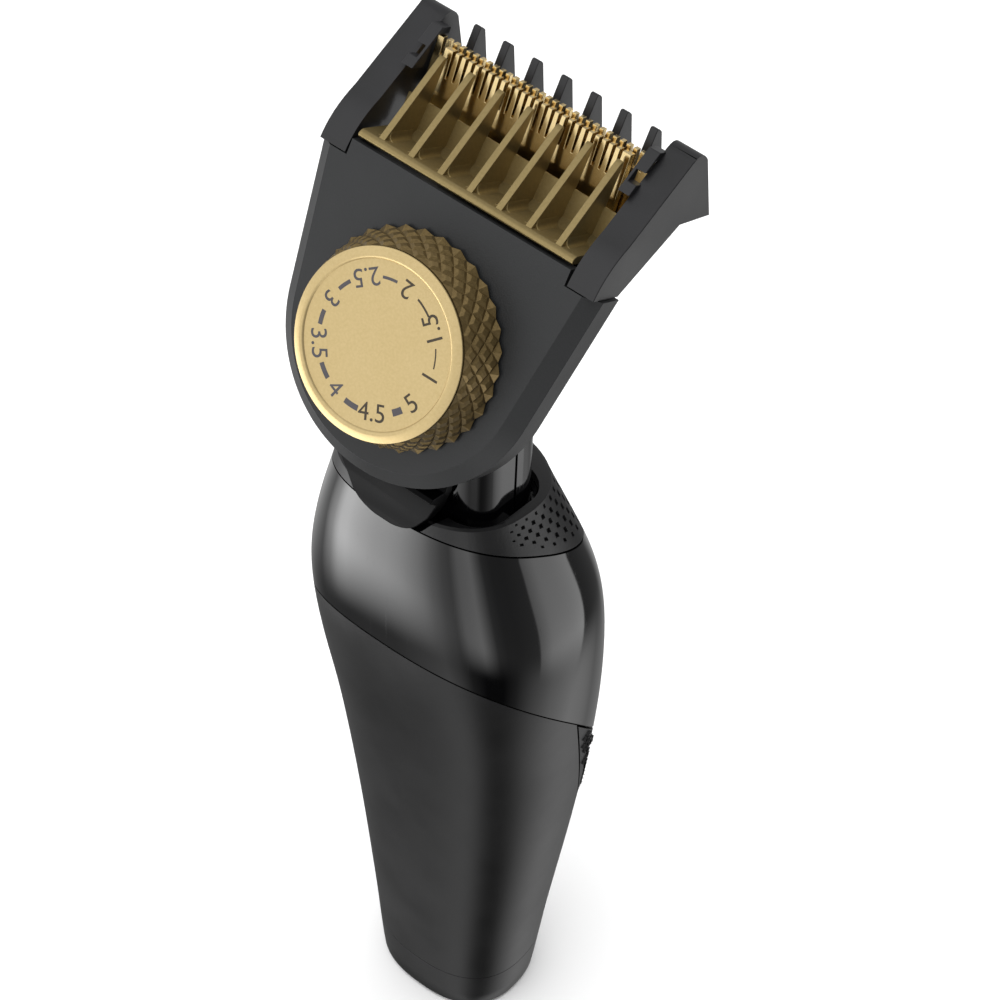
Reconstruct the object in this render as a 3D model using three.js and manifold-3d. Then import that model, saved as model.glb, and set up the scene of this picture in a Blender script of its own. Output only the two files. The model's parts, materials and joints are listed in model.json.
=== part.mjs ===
// Beard trimmer with a dial-set comb attachment. Millimetres, +Z up the handle, -Y is the dial side.
import * as THREE from 'three';
import { mergeVertices } from 'three/addons/utils/BufferGeometryUtils.js';
import Module from 'manifold-3d';

const wasm = await Module();
wasm.setup();

// ---------- driving dimensions ----------
const GAP = 0.3; // clearance between touching pieces
const LIFT = 1.5; // height of the drawing's datum above the base
const WALL = 1.8; // handle shell wall
const SKIN = 1.6; // thickness of the soft grips
const SIDES = 32; // facets round the handle
const DEPTH_RATIO = 0.83; // handle depth over width
const SQUARENESS = 2.4; // superellipse exponent of the handle section
const HANDLE = [ // [height, half width, centre offset towards the back]
  [-1.5, 10.4, 0], [-0.7, 10.9, 0], [15, 12.4, 0.3], [40, 15.1, 0.8], [62, 17.3, 0.3],
  [80, 18.6, -1.5], [92, 18.4, -3], [104, 15.9, -4.9], [116, 12.7, -6.3], [124, 12, -6.6],
];
const SEAM = [70.2, -1.36, -0.0097]; // height of the shell seam: c0 + c1 y + c2 y^2
const RING = [104.1, -0.72, -0.002]; // lower edge of the shoulder grip, same form
const SHOULDER_TOP = [114, -0.22, 0]; // top of the shoulder grip, same form
const NECK = { half: 11, front: -12.7, back: -0.2, radius: 4, bottom: 107, wall: 1.5, split: -5.8 };
const TILT = 33; // lean of the head plate from the handle axis, degrees
const DIAL_CENTRE = [0, -13.2, 143.2]; // dial axis on the front face of the cover
const COVER = { top: 17.3, shoulder: 15.3, wide: 20, waist: 17.4, rim: 5.2, chamfer: 1.7, wall: 1.5 };
const DIAL = { base: 13.1, face: 11.15, height: 5.4, cap: 10.2, lid: 11.1, hub: 5 };
const PANEL = { meets: 69.5, depth: 0.5, slope: 0.228 }; // slanted front plane of the rear grip
const TONGUE = [ // half of the release tongue's outline, seen square to the head plate
  [7.6, -14], [7.6, -18.3], [7.08, -19.6], [5.5, -22.4], [3.7, -25.1], [0, -26.2],
];
const CAM = { radius: 11.2, front: -1.9, back: -4.4, start: 4.2, travel: 5.6, turn: 320, groove: 1.1 };
const TOOTH_PITCH = 4.2; // comb teeth and ribs
const TOOTH_COUNT = 7;
const TOOTH_TIP = [32.5, -12.4];
const ARM = { inner: 15.9, outer: 19.5 };
const BLADE = { half: 15.3, tip: [29.8, -8.1], lean: 8, pitch: 0.95, slot: 3.4 };
const DRIVE = { throw: 0.8, pivot: 122, axis: -6, motor: -4.4 }; // axis, motor: places along Y

const PAINT = {
  gloss: ['#0b0b0d', 0.12, 0], satin: ['#3a3a3b', 0.5, 0], rubber: ['#26262a', 0.8, 0],
  black: ['#19191b', 0.35, 0], head: ['#55575b', 0.55, 0], bronze: ['#74623c', 0.4, 0.6],
  ribs: ['#8f8360', 0.45, 0.5], gold: ['#d0b98a', 0.35, 0.9], blade: ['#c9a257', 0.2, 1],
  steel: ['#b9bcc0', 0.3, 1], copper: ['#c58a4a', 0.3, 1], board: ['#1f5a34', 0.6, 0],
  cell: ['#2f5fa8', 0.5, 0], lamp: ['#e8eef2', 0.2, 0],
};

// ---------- solids ----------
function toSolid(geometry) {
  const bare = geometry.index ? geometry.toNonIndexed() : geometry.clone();
  bare.deleteAttribute('normal');
  bare.deleteAttribute('uv');
  const merged = mergeVertices(bare, 1e-4);
  return new wasm.Manifold(new wasm.Mesh({
    numProp: 3,
    vertProperties: new Float32Array(merged.attributes.position.array),
    triVerts: new Uint32Array(merged.index.array),
  }));
}

function toGeometry(solid) {
  const mesh = solid.getMesh();
  const geometry = new THREE.BufferGeometry();
  geometry.setAttribute('position', new THREE.BufferAttribute(new Float32Array(mesh.vertProperties), 3));
  geometry.setIndex(new THREE.BufferAttribute(new Uint32Array(mesh.triVerts), 1));
  geometry.computeVertexNormals();
  return geometry;
}

// Places of a row of repeated features, centred on zero.
const rowOf = (count, pitch) => Array.from({ length: count }, (_, i) => (i - (count - 1) / 2) * pitch);

const cut = (solid, ...tools) => tools.reduce((rest, tool) => rest.subtract(tool), solid);
const join = (solid, ...others) => others.reduce((sum, other) => sum.add(other), solid);

function box([x0, x1], [y0, y1], [z0, z1]) {
  const geometry = new THREE.BoxGeometry(x1 - x0, y1 - y0, z1 - z0);
  return toSolid(geometry.translate((x0 + x1) / 2, (y0 + y1) / 2, (z0 + z1) / 2));
}

// A round bar between two heights, along Z through (x, y).
function rod(radius, z0, z1, x = 0, y = 0, sides = 24) {
  const geometry = new THREE.CylinderGeometry(radius, radius, z1 - z0, sides).rotateX(Math.PI / 2);
  return toSolid(geometry.translate(x, y, (z0 + z1) / 2));
}

// A turned piece about Z; the profile lists [radius, height] and closes on itself.
function turned(profile, sides = 40) {
  const points = [...profile, profile[0]].map(([r, z]) => new THREE.Vector2(r, z));
  const geometry = new THREE.LatheGeometry(points, sides).rotateX(Math.PI / 2);
  return toSolid(geometry);
}

function polygon(points) {
  return new THREE.Shape(points.map(([x, y]) => new THREE.Vector2(x, y)));
}

// A flat shape raised from one height to another.
function plate(shape, z0, z1, segments = 6) {
  const options = { depth: z1 - z0, bevelEnabled: false, curveSegments: segments };
  return toSolid(new THREE.ExtrudeGeometry(shape, options).translate(0, 0, z0));
}

// A side outline in (y, z) pulled along X.
function sideways(shape, x0, x1, segments = 12) {
  const options = { depth: x1 - x0, bevelEnabled: false, curveSegments: segments };
  const turn = new THREE.Matrix4().makeBasis(
    new THREE.Vector3(0, 1, 0), new THREE.Vector3(0, 0, 1), new THREE.Vector3(1, 0, 0));
  return toSolid(new THREE.ExtrudeGeometry(shape, options).applyMatrix4(turn).translate(x0, 0, 0));
}

function roundedRectangle(x0, x1, y0, y1, radius) {
  const shape = new THREE.Shape();
  shape.moveTo(x0 + radius, y0).lineTo(x1 - radius, y0);
  shape.absarc(x1 - radius, y0 + radius, radius, -Math.PI / 2, 0);
  shape.lineTo(x1, y1 - radius).absarc(x1 - radius, y1 - radius, radius, 0, Math.PI / 2);
  shape.lineTo(x0 + radius, y1).absarc(x0 + radius, y1 - radius, radius, Math.PI / 2, Math.PI);
  shape.lineTo(x0, y0 + radius).absarc(x0 + radius, y0 + radius, radius, Math.PI, Math.PI * 1.5);
  return shape;
}

function mesh(name, solid, paint) {
  const [color, roughness, metalness] = PAINT[paint];
  const material = new THREE.MeshStandardMaterial({ color, roughness, metalness });
  const piece = new THREE.Mesh(toGeometry(solid), material);
  piece.name = name;
  return piece;
}

// ---------- handle form ----------
// Smooth curve through the handle stations, read at one height.
function along(z, column) {
  const last = HANDLE.length - 1;
  const i = Math.max(0, Math.min(last - 1, HANDLE.findIndex(([h]) => h > z) - 1));
  const slope = (j) => {
    const a = HANDLE[Math.max(0, j - 1)];
    const b = HANDLE[Math.min(last, j + 1)];
    return (b[column] - a[column]) / (b[0] - a[0]);
  };
  const [low, high] = [HANDLE[i], HANDLE[i + 1]];
  const span = high[0] - low[0];
  const t = THREE.MathUtils.clamp((z - low[0]) / span, 0, 1);
  const rise = t * t * (3 - 2 * t);
  return low[column] * (1 - rise) + high[column] * rise
    + span * t * (1 - t) * (slope(i) * (1 - t) - slope(i + 1) * t);
}

const curveHeight = ([c0, c1, c2], y) => c0 + c1 * y + c2 * y * y;

// The handle's outside, drawn in by an inset, between two heights.
function handleBody(z0, z1, inset = 0, rings = 10) {
  const geometry = new THREE.CylinderGeometry(1, 1, 1, SIDES, rings);
  const position = geometry.attributes.position;
  for (let i = 0; i < position.count; i += 1) {
    const z = z0 + (position.getY(i) + 0.5) * (z1 - z0);
    const radius = Math.hypot(position.getX(i), position.getZ(i));
    const angle = Math.atan2(position.getZ(i), position.getX(i));
    const squash = (value) => Math.sign(value) * Math.abs(value) ** (2 / SQUARENESS);
    const half = along(z, 1);
    const x = (half - inset) * radius * squash(Math.cos(angle));
    const y = (half * DEPTH_RATIO - inset) * radius * squash(Math.sin(angle));
    position.setXYZ(i, -x, y + along(z, 2), z);
  }
  return toSolid(geometry);
}

// Everything above a curved parting surface.
function above(curve, lift, ceiling = 190) {
  const [front, back] = [-30, 30];
  const middle = curveHeight(curve, 0) * 2 - (curveHeight(curve, front) + curveHeight(curve, back)) / 2;
  const shape = new THREE.Shape();
  shape.moveTo(front, curveHeight(curve, front) + lift);
  shape.quadraticCurveTo(0, middle + lift, back, curveHeight(curve, back) + lift);
  shape.lineTo(back, ceiling).lineTo(front, ceiling);
  return sideways(shape, -40, 40, 7);
}

const below = (curve, lift) => cut(box([-39, 39], [-29, 29], [-5, 185]), above(curve, lift));

function neckShape(inset = 0) {
  return roundedRectangle(-NECK.half + inset, NECK.half - inset, NECK.front + inset,
    NECK.back - inset, NECK.radius - inset * 0.6);
}

// The tongue's outline, let out all round by a margin.
function tongueShape(grow) {
  const half = TONGUE.map(([x, y]) => [x > 0 ? x + grow : 0, y - grow]);
  half[0][1] = TONGUE[0][1] + grow;
  const mirrored = half.slice(0, -1).reverse().map(([x, y]) => [-x, y]);
  return polygon([...half, ...mirrored].reverse());
}

// ---------- handle pieces ----------
// Everything behind the slanted plane where the rubber panel meets the lower shell.
function rearPanel(grow) {
  const front = (z) => PANEL.depth + PANEL.slope * (PANEL.meets - z) - grow;
  return sideways(polygon([[front(-10), -10], [30, -10], [30, 120], [front(120), 120]]), -40, 40);
}

const SOCKET = { x: 4, y: [0.8, 7], bottom: -1.1, top: 7.5 };
const BUTTON = { z: 84, half: [5, 8] };

function buttonShape(grow) {
  const [w, h] = BUTTON.half;
  return roundedRectangle(-w - grow, w + grow, -h - grow, h + grow, w - 0.5 + grow);
}

// A shape drawn on the back of the handle, pushed through the shell wall.
function throughBack(shape, z, y0, y1) {
  return plate(shape, 0, y1 - y0, 5).rotate([-90, 0, 0]).translate([0, y0, z]);
}

function makeLowerShell() {
  const hollow = handleBody(5, 110, WALL, 6);
  const shell = cut(handleBody(7.2, 110, 0, 11), hollow);
  const recess = cut(rearPanel(GAP), handleBody(0, 120, SKIN - 0.5, 10));
  return cut(shell.intersect(below(SEAM, -0.15)), recess);
}

function makeRearGrip() {
  const skin = cut(handleBody(6, 110, 0, 11), handleBody(5, 112, SKIN - 0.8, 10));
  return skin.intersect(rearPanel(0)).intersect(below(SEAM, -0.9));
}

// Room in the front of the shoulder for the comb's release tongue.
function tongueNotch() {
  return plate(tongueShape(0.5), -15.5, 0).rotate([90 - TILT, 0, 0]).translate(DIAL_CENTRE);
}

function makeUpperShell() {
  const outside = handleBody(40, 118, 0, 11).intersect(below(RING, -0.15));
  const core = handleBody(90, 118, SKIN + 0.3, 6).intersect(below(SHOULDER_TOP, -1.6));
  const hollow = join(handleBody(38, 95, WALL, 6), handleBody(94, 106.5, SKIN + WALL, 4));
  const neckHole = plate(neckShape(-GAP), 100, 130);
  const button = throughBack(buttonShape(GAP), BUTTON.z, 4, 20);
  const lamp = rod(1.3, 4, 20, 0, 0, 16).rotate([-90, 0, 0]).translate([0, 0, BUTTON.z - 13]);
  return cut(join(outside, core), hollow, neckHole, button, lamp, below(SEAM, 0.15), tongueNotch());
}

function makeShoulderGrip() {
  const skin = cut(handleBody(90, 119, 0, 7), handleBody(89, 118.5, SKIN, 5));
  const wide = skin.intersect(above(RING, 0.15)).intersect(below(SHOULDER_TOP, 0));
  return cut(wide, plate(neckShape(-0.8), 100, 130), tongueNotch());
}

function makeBaseCap() {
  const cup = cut(handleBody(-LIFT, 6.9, 0, 5), box([-SOCKET.x - GAP, SOCKET.x + GAP],
    [SOCKET.y[0] - GAP, SOCKET.y[1] + GAP], [-3, 12]));
  return cut(cup, handleBody(2.4, 8, 2.4, 2).subtract(box([-6, 6], [-1, 9], [0, 12])));
}

function makeChargingSocket() {
  const body = box([-SOCKET.x, SOCKET.x], SOCKET.y, [SOCKET.bottom, SOCKET.top]);
  return cut(body, box([-3.2, 3.2], [SOCKET.y[0] + 0.8, SOCKET.y[1] - 0.8], [-3, SOCKET.top - 1]));
}

const makeChargePin = (side) => rod(0.6, 4.5, SOCKET.top - 1 - GAP, side * 1.7, 3.9, 12);

function makePowerButton() {
  const face = throughBack(buttonShape(0), BUTTON.z, 10.6, 18).intersect(handleBody(40, 118, 0.2, 6));
  return join(face, rod(1.4, 9.5, 10.8, 0, 0, 16).rotate([-90, 0, 0]).translate([0, 0, BUTTON.z]));
}

const makeStatusLight = () => rod(1, 9.4, 14, 0, 0, 16).rotate([-90, 0, 0])
  .translate([0, 0, BUTTON.z - 13]).intersect(handleBody(40, 118, 0.1, 6));

const makeCircuitBoard = () => box([-7, 7], [6.4, 7.4], [30, 92]);
const makeButtonSwitch = () => box([-3, 3], [7.7, 8.6], [BUTTON.z - 3, BUTTON.z + 3]);
const makeBattery = () => rod(7, 28, 70, 0, -1.9, 28);

function makeInnerFrame() {
  const spine = box([-8.5, 8.5], [5.4, 6.1], [25.4, 92]);
  const foot = box([-7, 7], [-6, 5.5], [25.4, 27.6]);
  const shelf = box([-8.5, 8.5], [-9, 5.5], [70.4, 72.6]);
  return join(spine, foot, shelf);
}

function makeMotor() {
  const can = rod(9, 73.2, 99, 0, DRIVE.motor, 28);
  return cut(can, rod(1.3, 97, 100, 0, DRIVE.motor, 16));
}

function makeMotorBracket() {
  const disc = rod(9.6, 99.4, 101.2, 0, DRIVE.motor, 28);
  return cut(disc, rod(3, 99, 102, 0, DRIVE.motor, 20));
}

function makeEccentric() {
  const shaft = rod(1, 97.4, 103, 0, DRIVE.motor, 16);
  const weight = rod(3, 102.4, 104.4, 0, DRIVE.motor, 24);
  return join(shaft, weight, rod(0.9, 104, 108.4, DRIVE.throw, DRIVE.motor, 16));
}

// ---------- neck and drive ----------
// Side outline of the region in front of and above the neck's slanted top.
function headSpace(depth) {
  const [, cy, cz] = DIAL_CENTRE;
  const lean = THREE.MathUtils.degToRad(TILT);
  const [rise, run] = [Math.cos(lean), Math.sin(lean)];
  const place = (v, n) => [cy + v * run - n * rise, cz + v * rise + n * run];
  const corners = [place(-60, depth), place(60, depth), place(60, 60), place(-60, 60)];
  return sideways(polygon(corners), -30, 30);
}

function makeNeck() {
  const outside = cut(plate(neckShape(), NECK.bottom, 152), headSpace(-8.5));
  const inside = cut(plate(neckShape(NECK.wall), NECK.bottom - 1, 152), headSpace(-10.2));
  const slot = box([-5, 5], [-6, 3], [125, 160]);
  return cut(outside, inside, slot);
}

const makeNeckFront = () => makeNeck().intersect(box([-20, 20], [-30, NECK.split - 0.1], [90, 160]));
const makeNeckRear = () => makeNeck().intersect(box([-20, 20], [NECK.split + 0.1, 20], [90, 160]));

function makeNeckSeal() {
  return cut(plate(neckShape(NECK.wall + GAP), 113, 114.4), box([-4.5, 4.5], [-9.5, -1], [110, 118]));
}

function makeDriveLever() {
  const y = DRIVE.axis;
  const side = polygon([[y - 1.4, 105.2], [y + 4, 105.2], [y + 4, 110], [y + 1.4, 112],
    [y + 1.4, 126], [5.4, 149.6], [2.6, 150.9], [y - 1.4, 127.5]]);
  const bar = sideways(side, -1.6, 1.6);
  const fork = box([-4.4, 4.4], [y - 1.4, y + 4], [105.2, 110.4]);
  const slot = box([-2.8, 2.8], [y - 0.5, y + 6], [104, 108.9]);
  return cut(join(bar, fork), slot, pivotRod(1.25, 8, 8));
}

// A round bar along Y through the lever's pivot.
function pivotRod(radius, front, back) {
  return rod(radius, -front, back, 0, 0, 20).rotate([-90, 0, 0]).translate([0, DRIVE.axis, DRIVE.pivot]);
}

const makeLeverPin = () => pivotRod(1.2, 4.9, 3.9);

// Wedge behind the neck that the blade is screwed to.
function makeBladeHolder() {
  const wedge = polygon([[0.1, 133], [3.2, 137.5], [7, 146.5], [9.3, 153.2], [8.2, 154.6],
    [5, 147.8], [0.1, 147.4]]);
  const channel = polygon([[-1, 133.5], [1.2, 138], [6.1, 149.6], [12, 163], [-1, 165]]);
  return cut(sideways(wedge, -9, 9), sideways(channel, -2.9, 2.9));
}

// ---------- head pieces: X across, Y up the plate, Z out of the dial ----------
function coverShape(inset = 0) {
  const [wide, waist] = [COVER.wide - inset, COVER.waist - inset];
  const start = THREE.MathUtils.degToRad(8.7);
  const shape = new THREE.Shape();
  shape.moveTo(-wide, COVER.shoulder).lineTo(-waist * Math.cos(start), -waist * Math.sin(start));
  shape.absarc(0, 0, waist, Math.PI + start, Math.PI * 2 - start, false);
  shape.lineTo(wide, COVER.shoulder).lineTo(ARM.inner - GAP, COVER.shoulder);
  shape.lineTo(ARM.inner - GAP, COVER.top).lineTo(GAP - ARM.inner, COVER.top);
  shape.lineTo(GAP - ARM.inner, COVER.shoulder);
  return shape;
}

function makeCombCover() {
  const bevel = COVER.chamfer * 1.15;
  const layers = 4;
  let body = plate(coverShape(), -COVER.rim, -COVER.chamfer, 10);
  for (let i = 0; i < layers; i += 1) {
    const low = -COVER.chamfer + (COVER.chamfer * i) / layers;
    const inset = (bevel * (i + 0.5)) / layers;
    body = join(body, plate(coverShape(inset), low - 0.01, low + COVER.chamfer / layers, 10));
  }
  const cavity = rod(COVER.waist - COVER.wall, -COVER.rim - 1, -COVER.wall - 0.2, 0, 0, 40);
  const mouth = box([-15.4, 15.4], [0, 25], [-COVER.rim - 1, -COVER.wall - 0.2]);
  return cut(body, cavity, mouth, rod(DIAL.hub + GAP, -9, 9, 0, 0, 32));
}

function makeCombBase() {
  const lower = box([-30, 30], [-30, 9], [-9, 0]);
  const floor = plate(coverShape(2.4), -7.9, -6.9, 10);
  const wall = cut(plate(coverShape(2.4), -7.4, -COVER.rim - GAP, 10), plate(coverShape(4), -8, 0, 10));
  return join(floor, wall).intersect(lower);
}

// Springy lip below the cover that unclips the comb from the neck.
function makeReleaseTongue() {
  const side = polygon([[-14.2, -8.2], [-17.2, -8.2], [-17.9, -6.5], [-18.6, -6.5], [-19.2, -8.4],
    [-22.4, -10.5], [-26.1, -12.1], [-26.1, -12.9], [-25, -13.1], [-18.5, -10.2], [-14.2, -9]]);
  return sideways(side, -8, 8).intersect(plate(tongueShape(0), -16, 0));
}

function makeDialGrip() {
  return turned([[5.4, 0.3], [DIAL.base, 0.3], [DIAL.face, DIAL.height], [DIAL.cap + GAP, DIAL.height],
    [DIAL.cap + GAP, 1.9], [5.4, 1.9]], 48);
}

function makeDialCap() {
  const under = DIAL.height + GAP;
  return turned([[0, 4.7], [DIAL.cap, 4.7], [DIAL.cap, under], [DIAL.lid, under], [DIAL.lid, 6.1],
    [DIAL.lid - 0.2, 6.2], [10.3, 6.2], [10.1, 5.9], [0, 5.9]], 48);
}

function makeDialCam() {
  const { back, front, radius: outer } = CAM;
  const disc = turned([[1.3, back], [outer, back], [outer, front], [DIAL.hub, front],
    [DIAL.hub, 2.9], [1.3, 2.9]], 40);
  const steps = 26;
  const onSpiral = (share, offset) => {
    const angle = Math.PI / 2 + THREE.MathUtils.degToRad(CAM.turn) * share;
    const radius = CAM.start + CAM.travel * share + offset;
    return [radius * Math.cos(angle), radius * Math.sin(angle)];
  };
  const rim = (offset) => Array.from({ length: steps + 1 }, (_, i) => onSpiral(i / steps, offset));
  const groove = polygon([...rim(-CAM.groove), ...rim(CAM.groove).reverse()]);
  const [low, high] = [back - 1, front - 0.6];
  const ends = [0, 1].map((share) => rod(CAM.groove, low, high, ...onSpiral(share, 0), 16));
  return cut(disc, plate(groove, low, high), ...ends);
}

function makeDialScrew() {
  return join(rod(1, -3.8, 3.4, 0, 0, 16), rod(2.4, 3.2, 4.3, 0, 0, 24));
}

function makeDetentSpring() {
  const leaf = box([12.3, 12.7], [-4, 4], [-4.2, -2.2]);
  return join(leaf, rod(0.7, -4.2, -2.2, 12.3, 0, 12));
}

// Frame that carries the skin-side teeth: two arms and the bar behind the blade.
function makeCombFrame() {
  const arm = new THREE.Shape();
  arm.moveTo(COVER.shoulder + GAP, -5.4).lineTo(COVER.shoulder + GAP, 0);
  arm.quadraticCurveTo(19, -0.2, 22, -3.2).lineTo(31.6, -10.2);
  arm.quadraticCurveTo(33.2, -11.4, 31.8, -13.4).lineTo(24.2, -20).lineTo(23.6, -13.4);
  const arms = [-ARM.outer, ARM.inner].map((x) => sideways(arm, x, x + ARM.outer - ARM.inner, 8));
  const barSide = polygon([[24.6, -20.2], [24.6, -13], [22.4, -13], [22.4, -20.2]]);
  const bar = sideways(barSide, -ARM.inner - 1, ARM.inner + 1);
  const [tipV, tipN] = TOOTH_TIP;
  const tooth = new THREE.Shape();
  tooth.moveTo(23, tipN - 0.2).lineTo(tipV - 0.6, tipN);
  tooth.quadraticCurveTo(tipV, tipN, tipV - 0.6, tipN - 1.2);
  tooth.lineTo(23, -20.4);
  const teeth = rowOf(TOOTH_COUNT, TOOTH_PITCH).map((x) => sideways(tooth, x - 0.5, x + 0.5, 4));
  const guard = polygon([[26.2, -5.2], [31.2, -8.6], [31.2, -10.4], [30.3, -10.4], [30.2, -8.3],
    [29, -7.6], [26.2, -7.6]]);
  const guards = [-ARM.inner - 1, 14.6].map((x) => sideways(guard, x, x + ARM.inner - 13.6));
  const windows = [-16.1, 14.9].map((x) => box([x, x + 1.2], [27.4, 28.8], [-12, 0]));
  return cut(join(...arms, bar, ...teeth, ...guards), ...windows);
}

// Plate under the cam that carries the follower pin and holds the comb frame.
function makeCombCarriage() {
  const core = box([-10, 10], [-0.5, 12.6], [-6.5, -5.5]);
  const tails = [-15.6, 9].map((x) => box([x, x + 6.6], [11, 16.8], [-6.5, -5.5]));
  return join(core, ...tails);
}

const makeFollowerPin = () => rod(0.8, -5.2, CAM.front - 0.9, 0, CAM.start, 16);

// Bronze rib comb: a bar and tapering ribs that reach to the blade.
function makeRibComb() {
  const barSide = polygon([[17.7, -0.6], [18.2, -0.3], [19.3, -0.8], [19.5, -1.4], [19.5, -6.6],
    [17.9, -6.6]]);
  const bar = sideways(barSide, -BLADE.half, BLADE.half);
  const rib = new THREE.Shape();
  rib.moveTo(19, -1.2).lineTo(28.2, -7).quadraticCurveTo(28.9, -7.7, 28.4, -7.7).lineTo(19, -7.7);
  const ribs = rowOf(TOOTH_COUNT, TOOTH_PITCH).map((x) => sideways(rib, x - 0.45, x + 0.45, 4));
  return join(bar, ...ribs);
}

// ---------- blade pieces: Y up to the tooth tips, Z out of the cutter's face ----------
const SCREW_X = [-6.6, 6.6];
const SCREW_Y = -11.1;

function toothedShape(half, root, tip, slot) {
  const points = [[-half, root], [half, root]];
  const count = Math.floor((half * 2 - 1) / BLADE.pitch);
  points.push([half, tip]);
  rowOf(count, BLADE.pitch).reverse().forEach((x) => {
    points.push([x + 0.28, tip], [x + 0.16, tip - slot], [x - 0.16, tip - slot], [x - 0.28, tip]);
  });
  points.push([-half, tip]);
  return polygon(points);
}

function makeFixedBlade() {
  const teeth = plate(toothedShape(BLADE.half, -9, 0, 2.2), -2.1, -1.3);
  const root = box([-9, 9], [-12.5, -8.8], [-2.1, -1.3]);
  return cut(join(teeth, root), ...SCREW_X.map((x) => rod(1.2, -3, 0, x, SCREW_Y, 16)));
}

function makeCutter() {
  const teeth = plate(toothedShape(BLADE.half - 2.1, -8.6, -0.4, BLADE.slot), -1, 0);
  const foot = box([-4, 4], [-17, -8.5], [-1, 0]);
  return cut(join(teeth, foot), box([-1.95, 1.95], [-18, -13.2], [-2, 1]));
}

function makeCutterSpring() {
  const leaf = cut(box([-8.6, 8.6], [-12.8, -9.4], [0.3, 0.6]), box([-3.4, 3.4], [-12, -10.2], [0, 1]));
  return cut(leaf, ...SCREW_X.map((x) => rod(1.2, 0, 1, x, SCREW_Y, 16)));
}

function makeBladeScrew(x) {
  return join(rod(1.6, 0.9, 1.6, x, SCREW_Y, 20), rod(0.9, -2.2, 1, x, SCREW_Y, 16));
}

// ---------- assembly ----------
const handle = new THREE.Group();
handle.add(
  mesh('lower_shell', makeLowerShell(), 'satin'),
  mesh('upper_shell', makeUpperShell(), 'gloss'),
  mesh('shoulder_grip', makeShoulderGrip(), 'rubber'),
  mesh('rear_grip', makeRearGrip(), 'rubber'),
  mesh('base_cap', makeBaseCap(), 'satin'),
  mesh('charging_socket', makeChargingSocket(), 'black'),
  mesh('charge_pin_left', makeChargePin(-1), 'copper'),
  mesh('charge_pin_right', makeChargePin(1), 'copper'),
  mesh('power_button', makePowerButton(), 'gloss'),
  mesh('button_switch', makeButtonSwitch(), 'steel'),
  mesh('status_light', makeStatusLight(), 'lamp'),
  mesh('circuit_board', makeCircuitBoard(), 'board'),
  mesh('battery', makeBattery(), 'cell'),
  mesh('inner_frame', makeInnerFrame(), 'black'),
  mesh('motor', makeMotor(), 'steel'),
  mesh('motor_bracket', makeMotorBracket(), 'black'),
  mesh('motor_eccentric', makeEccentric(), 'steel'),
  mesh('neck_front', makeNeckFront(), 'gloss'),
  mesh('neck_rear', makeNeckRear(), 'gloss'),
  mesh('neck_seal', makeNeckSeal(), 'rubber'),
  mesh('drive_lever', makeDriveLever(), 'black'),
  mesh('lever_pin', makeLeverPin(), 'steel'),
  mesh('blade_holder', makeBladeHolder(), 'black'),
);

const head = new THREE.Group();
head.position.set(...DIAL_CENTRE);
head.rotation.x = THREE.MathUtils.degToRad(90 - TILT);
head.add(
  mesh('comb_cover', makeCombCover(), 'head'),
  mesh('comb_base', makeCombBase(), 'black'),
  mesh('release_tongue', makeReleaseTongue(), 'black'),
  mesh('dial_grip', makeDialGrip(), 'bronze'),
  mesh('dial_cap', makeDialCap(), 'gold'),
  mesh('dial_cam', makeDialCam(), 'black'),
  mesh('dial_screw', makeDialScrew(), 'steel'),
  mesh('detent_spring', makeDetentSpring(), 'steel'),
  mesh('comb_frame', makeCombFrame(), 'black'),
  mesh('comb_carriage', makeCombCarriage(), 'black'),
  mesh('follower_pin', makeFollowerPin(), 'steel'),
  mesh('rib_comb', makeRibComb(), 'ribs'),
);

const cuttingUnit = new THREE.Group();
cuttingUnit.position.set(0, ...BLADE.tip);
cuttingUnit.rotation.x = THREE.MathUtils.degToRad(BLADE.lean);
cuttingUnit.add(
  mesh('fixed_blade', makeFixedBlade(), 'blade'),
  mesh('cutter', makeCutter(), 'blade'),
  mesh('cutter_spring', makeCutterSpring(), 'steel'),
  mesh('blade_screw_left', makeBladeScrew(SCREW_X[0]), 'steel'),
  mesh('blade_screw_right', makeBladeScrew(SCREW_X[1]), 'steel'),
);
head.add(cuttingUnit);

const group = new THREE.Group();
group.add(handle, head);
group.position.z = LIFT;
export default group;
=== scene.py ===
# %% [markdown]
# # Beard trimmer
# The trimmer stands on its flat base: a tapered handle in two mouldings, a neck, and a
# tilted head with a dial, a comb that slides and a toothed blade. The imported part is
# loaded as a fixed frame, and each visible shape is then made again with a finer surface.

# %% Frame
import json
import math

import bmesh
import bpy
from mathutils import Matrix, Vector


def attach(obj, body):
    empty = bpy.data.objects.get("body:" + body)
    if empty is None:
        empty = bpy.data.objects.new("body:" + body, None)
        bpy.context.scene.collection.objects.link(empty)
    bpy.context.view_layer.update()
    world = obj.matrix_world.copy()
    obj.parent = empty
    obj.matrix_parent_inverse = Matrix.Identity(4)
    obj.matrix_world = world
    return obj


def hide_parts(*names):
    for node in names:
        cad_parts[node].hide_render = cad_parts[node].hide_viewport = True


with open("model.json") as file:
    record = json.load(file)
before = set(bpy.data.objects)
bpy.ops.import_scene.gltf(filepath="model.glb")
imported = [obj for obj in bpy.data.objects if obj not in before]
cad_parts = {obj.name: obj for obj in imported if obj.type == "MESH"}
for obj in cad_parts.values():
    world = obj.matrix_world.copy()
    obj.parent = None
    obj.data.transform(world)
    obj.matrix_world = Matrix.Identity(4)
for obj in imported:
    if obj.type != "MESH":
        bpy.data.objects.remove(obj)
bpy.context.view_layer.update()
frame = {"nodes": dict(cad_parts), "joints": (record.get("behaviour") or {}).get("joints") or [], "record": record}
JOINTS = {joint["name"]: joint for joint in frame["joints"]}

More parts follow.
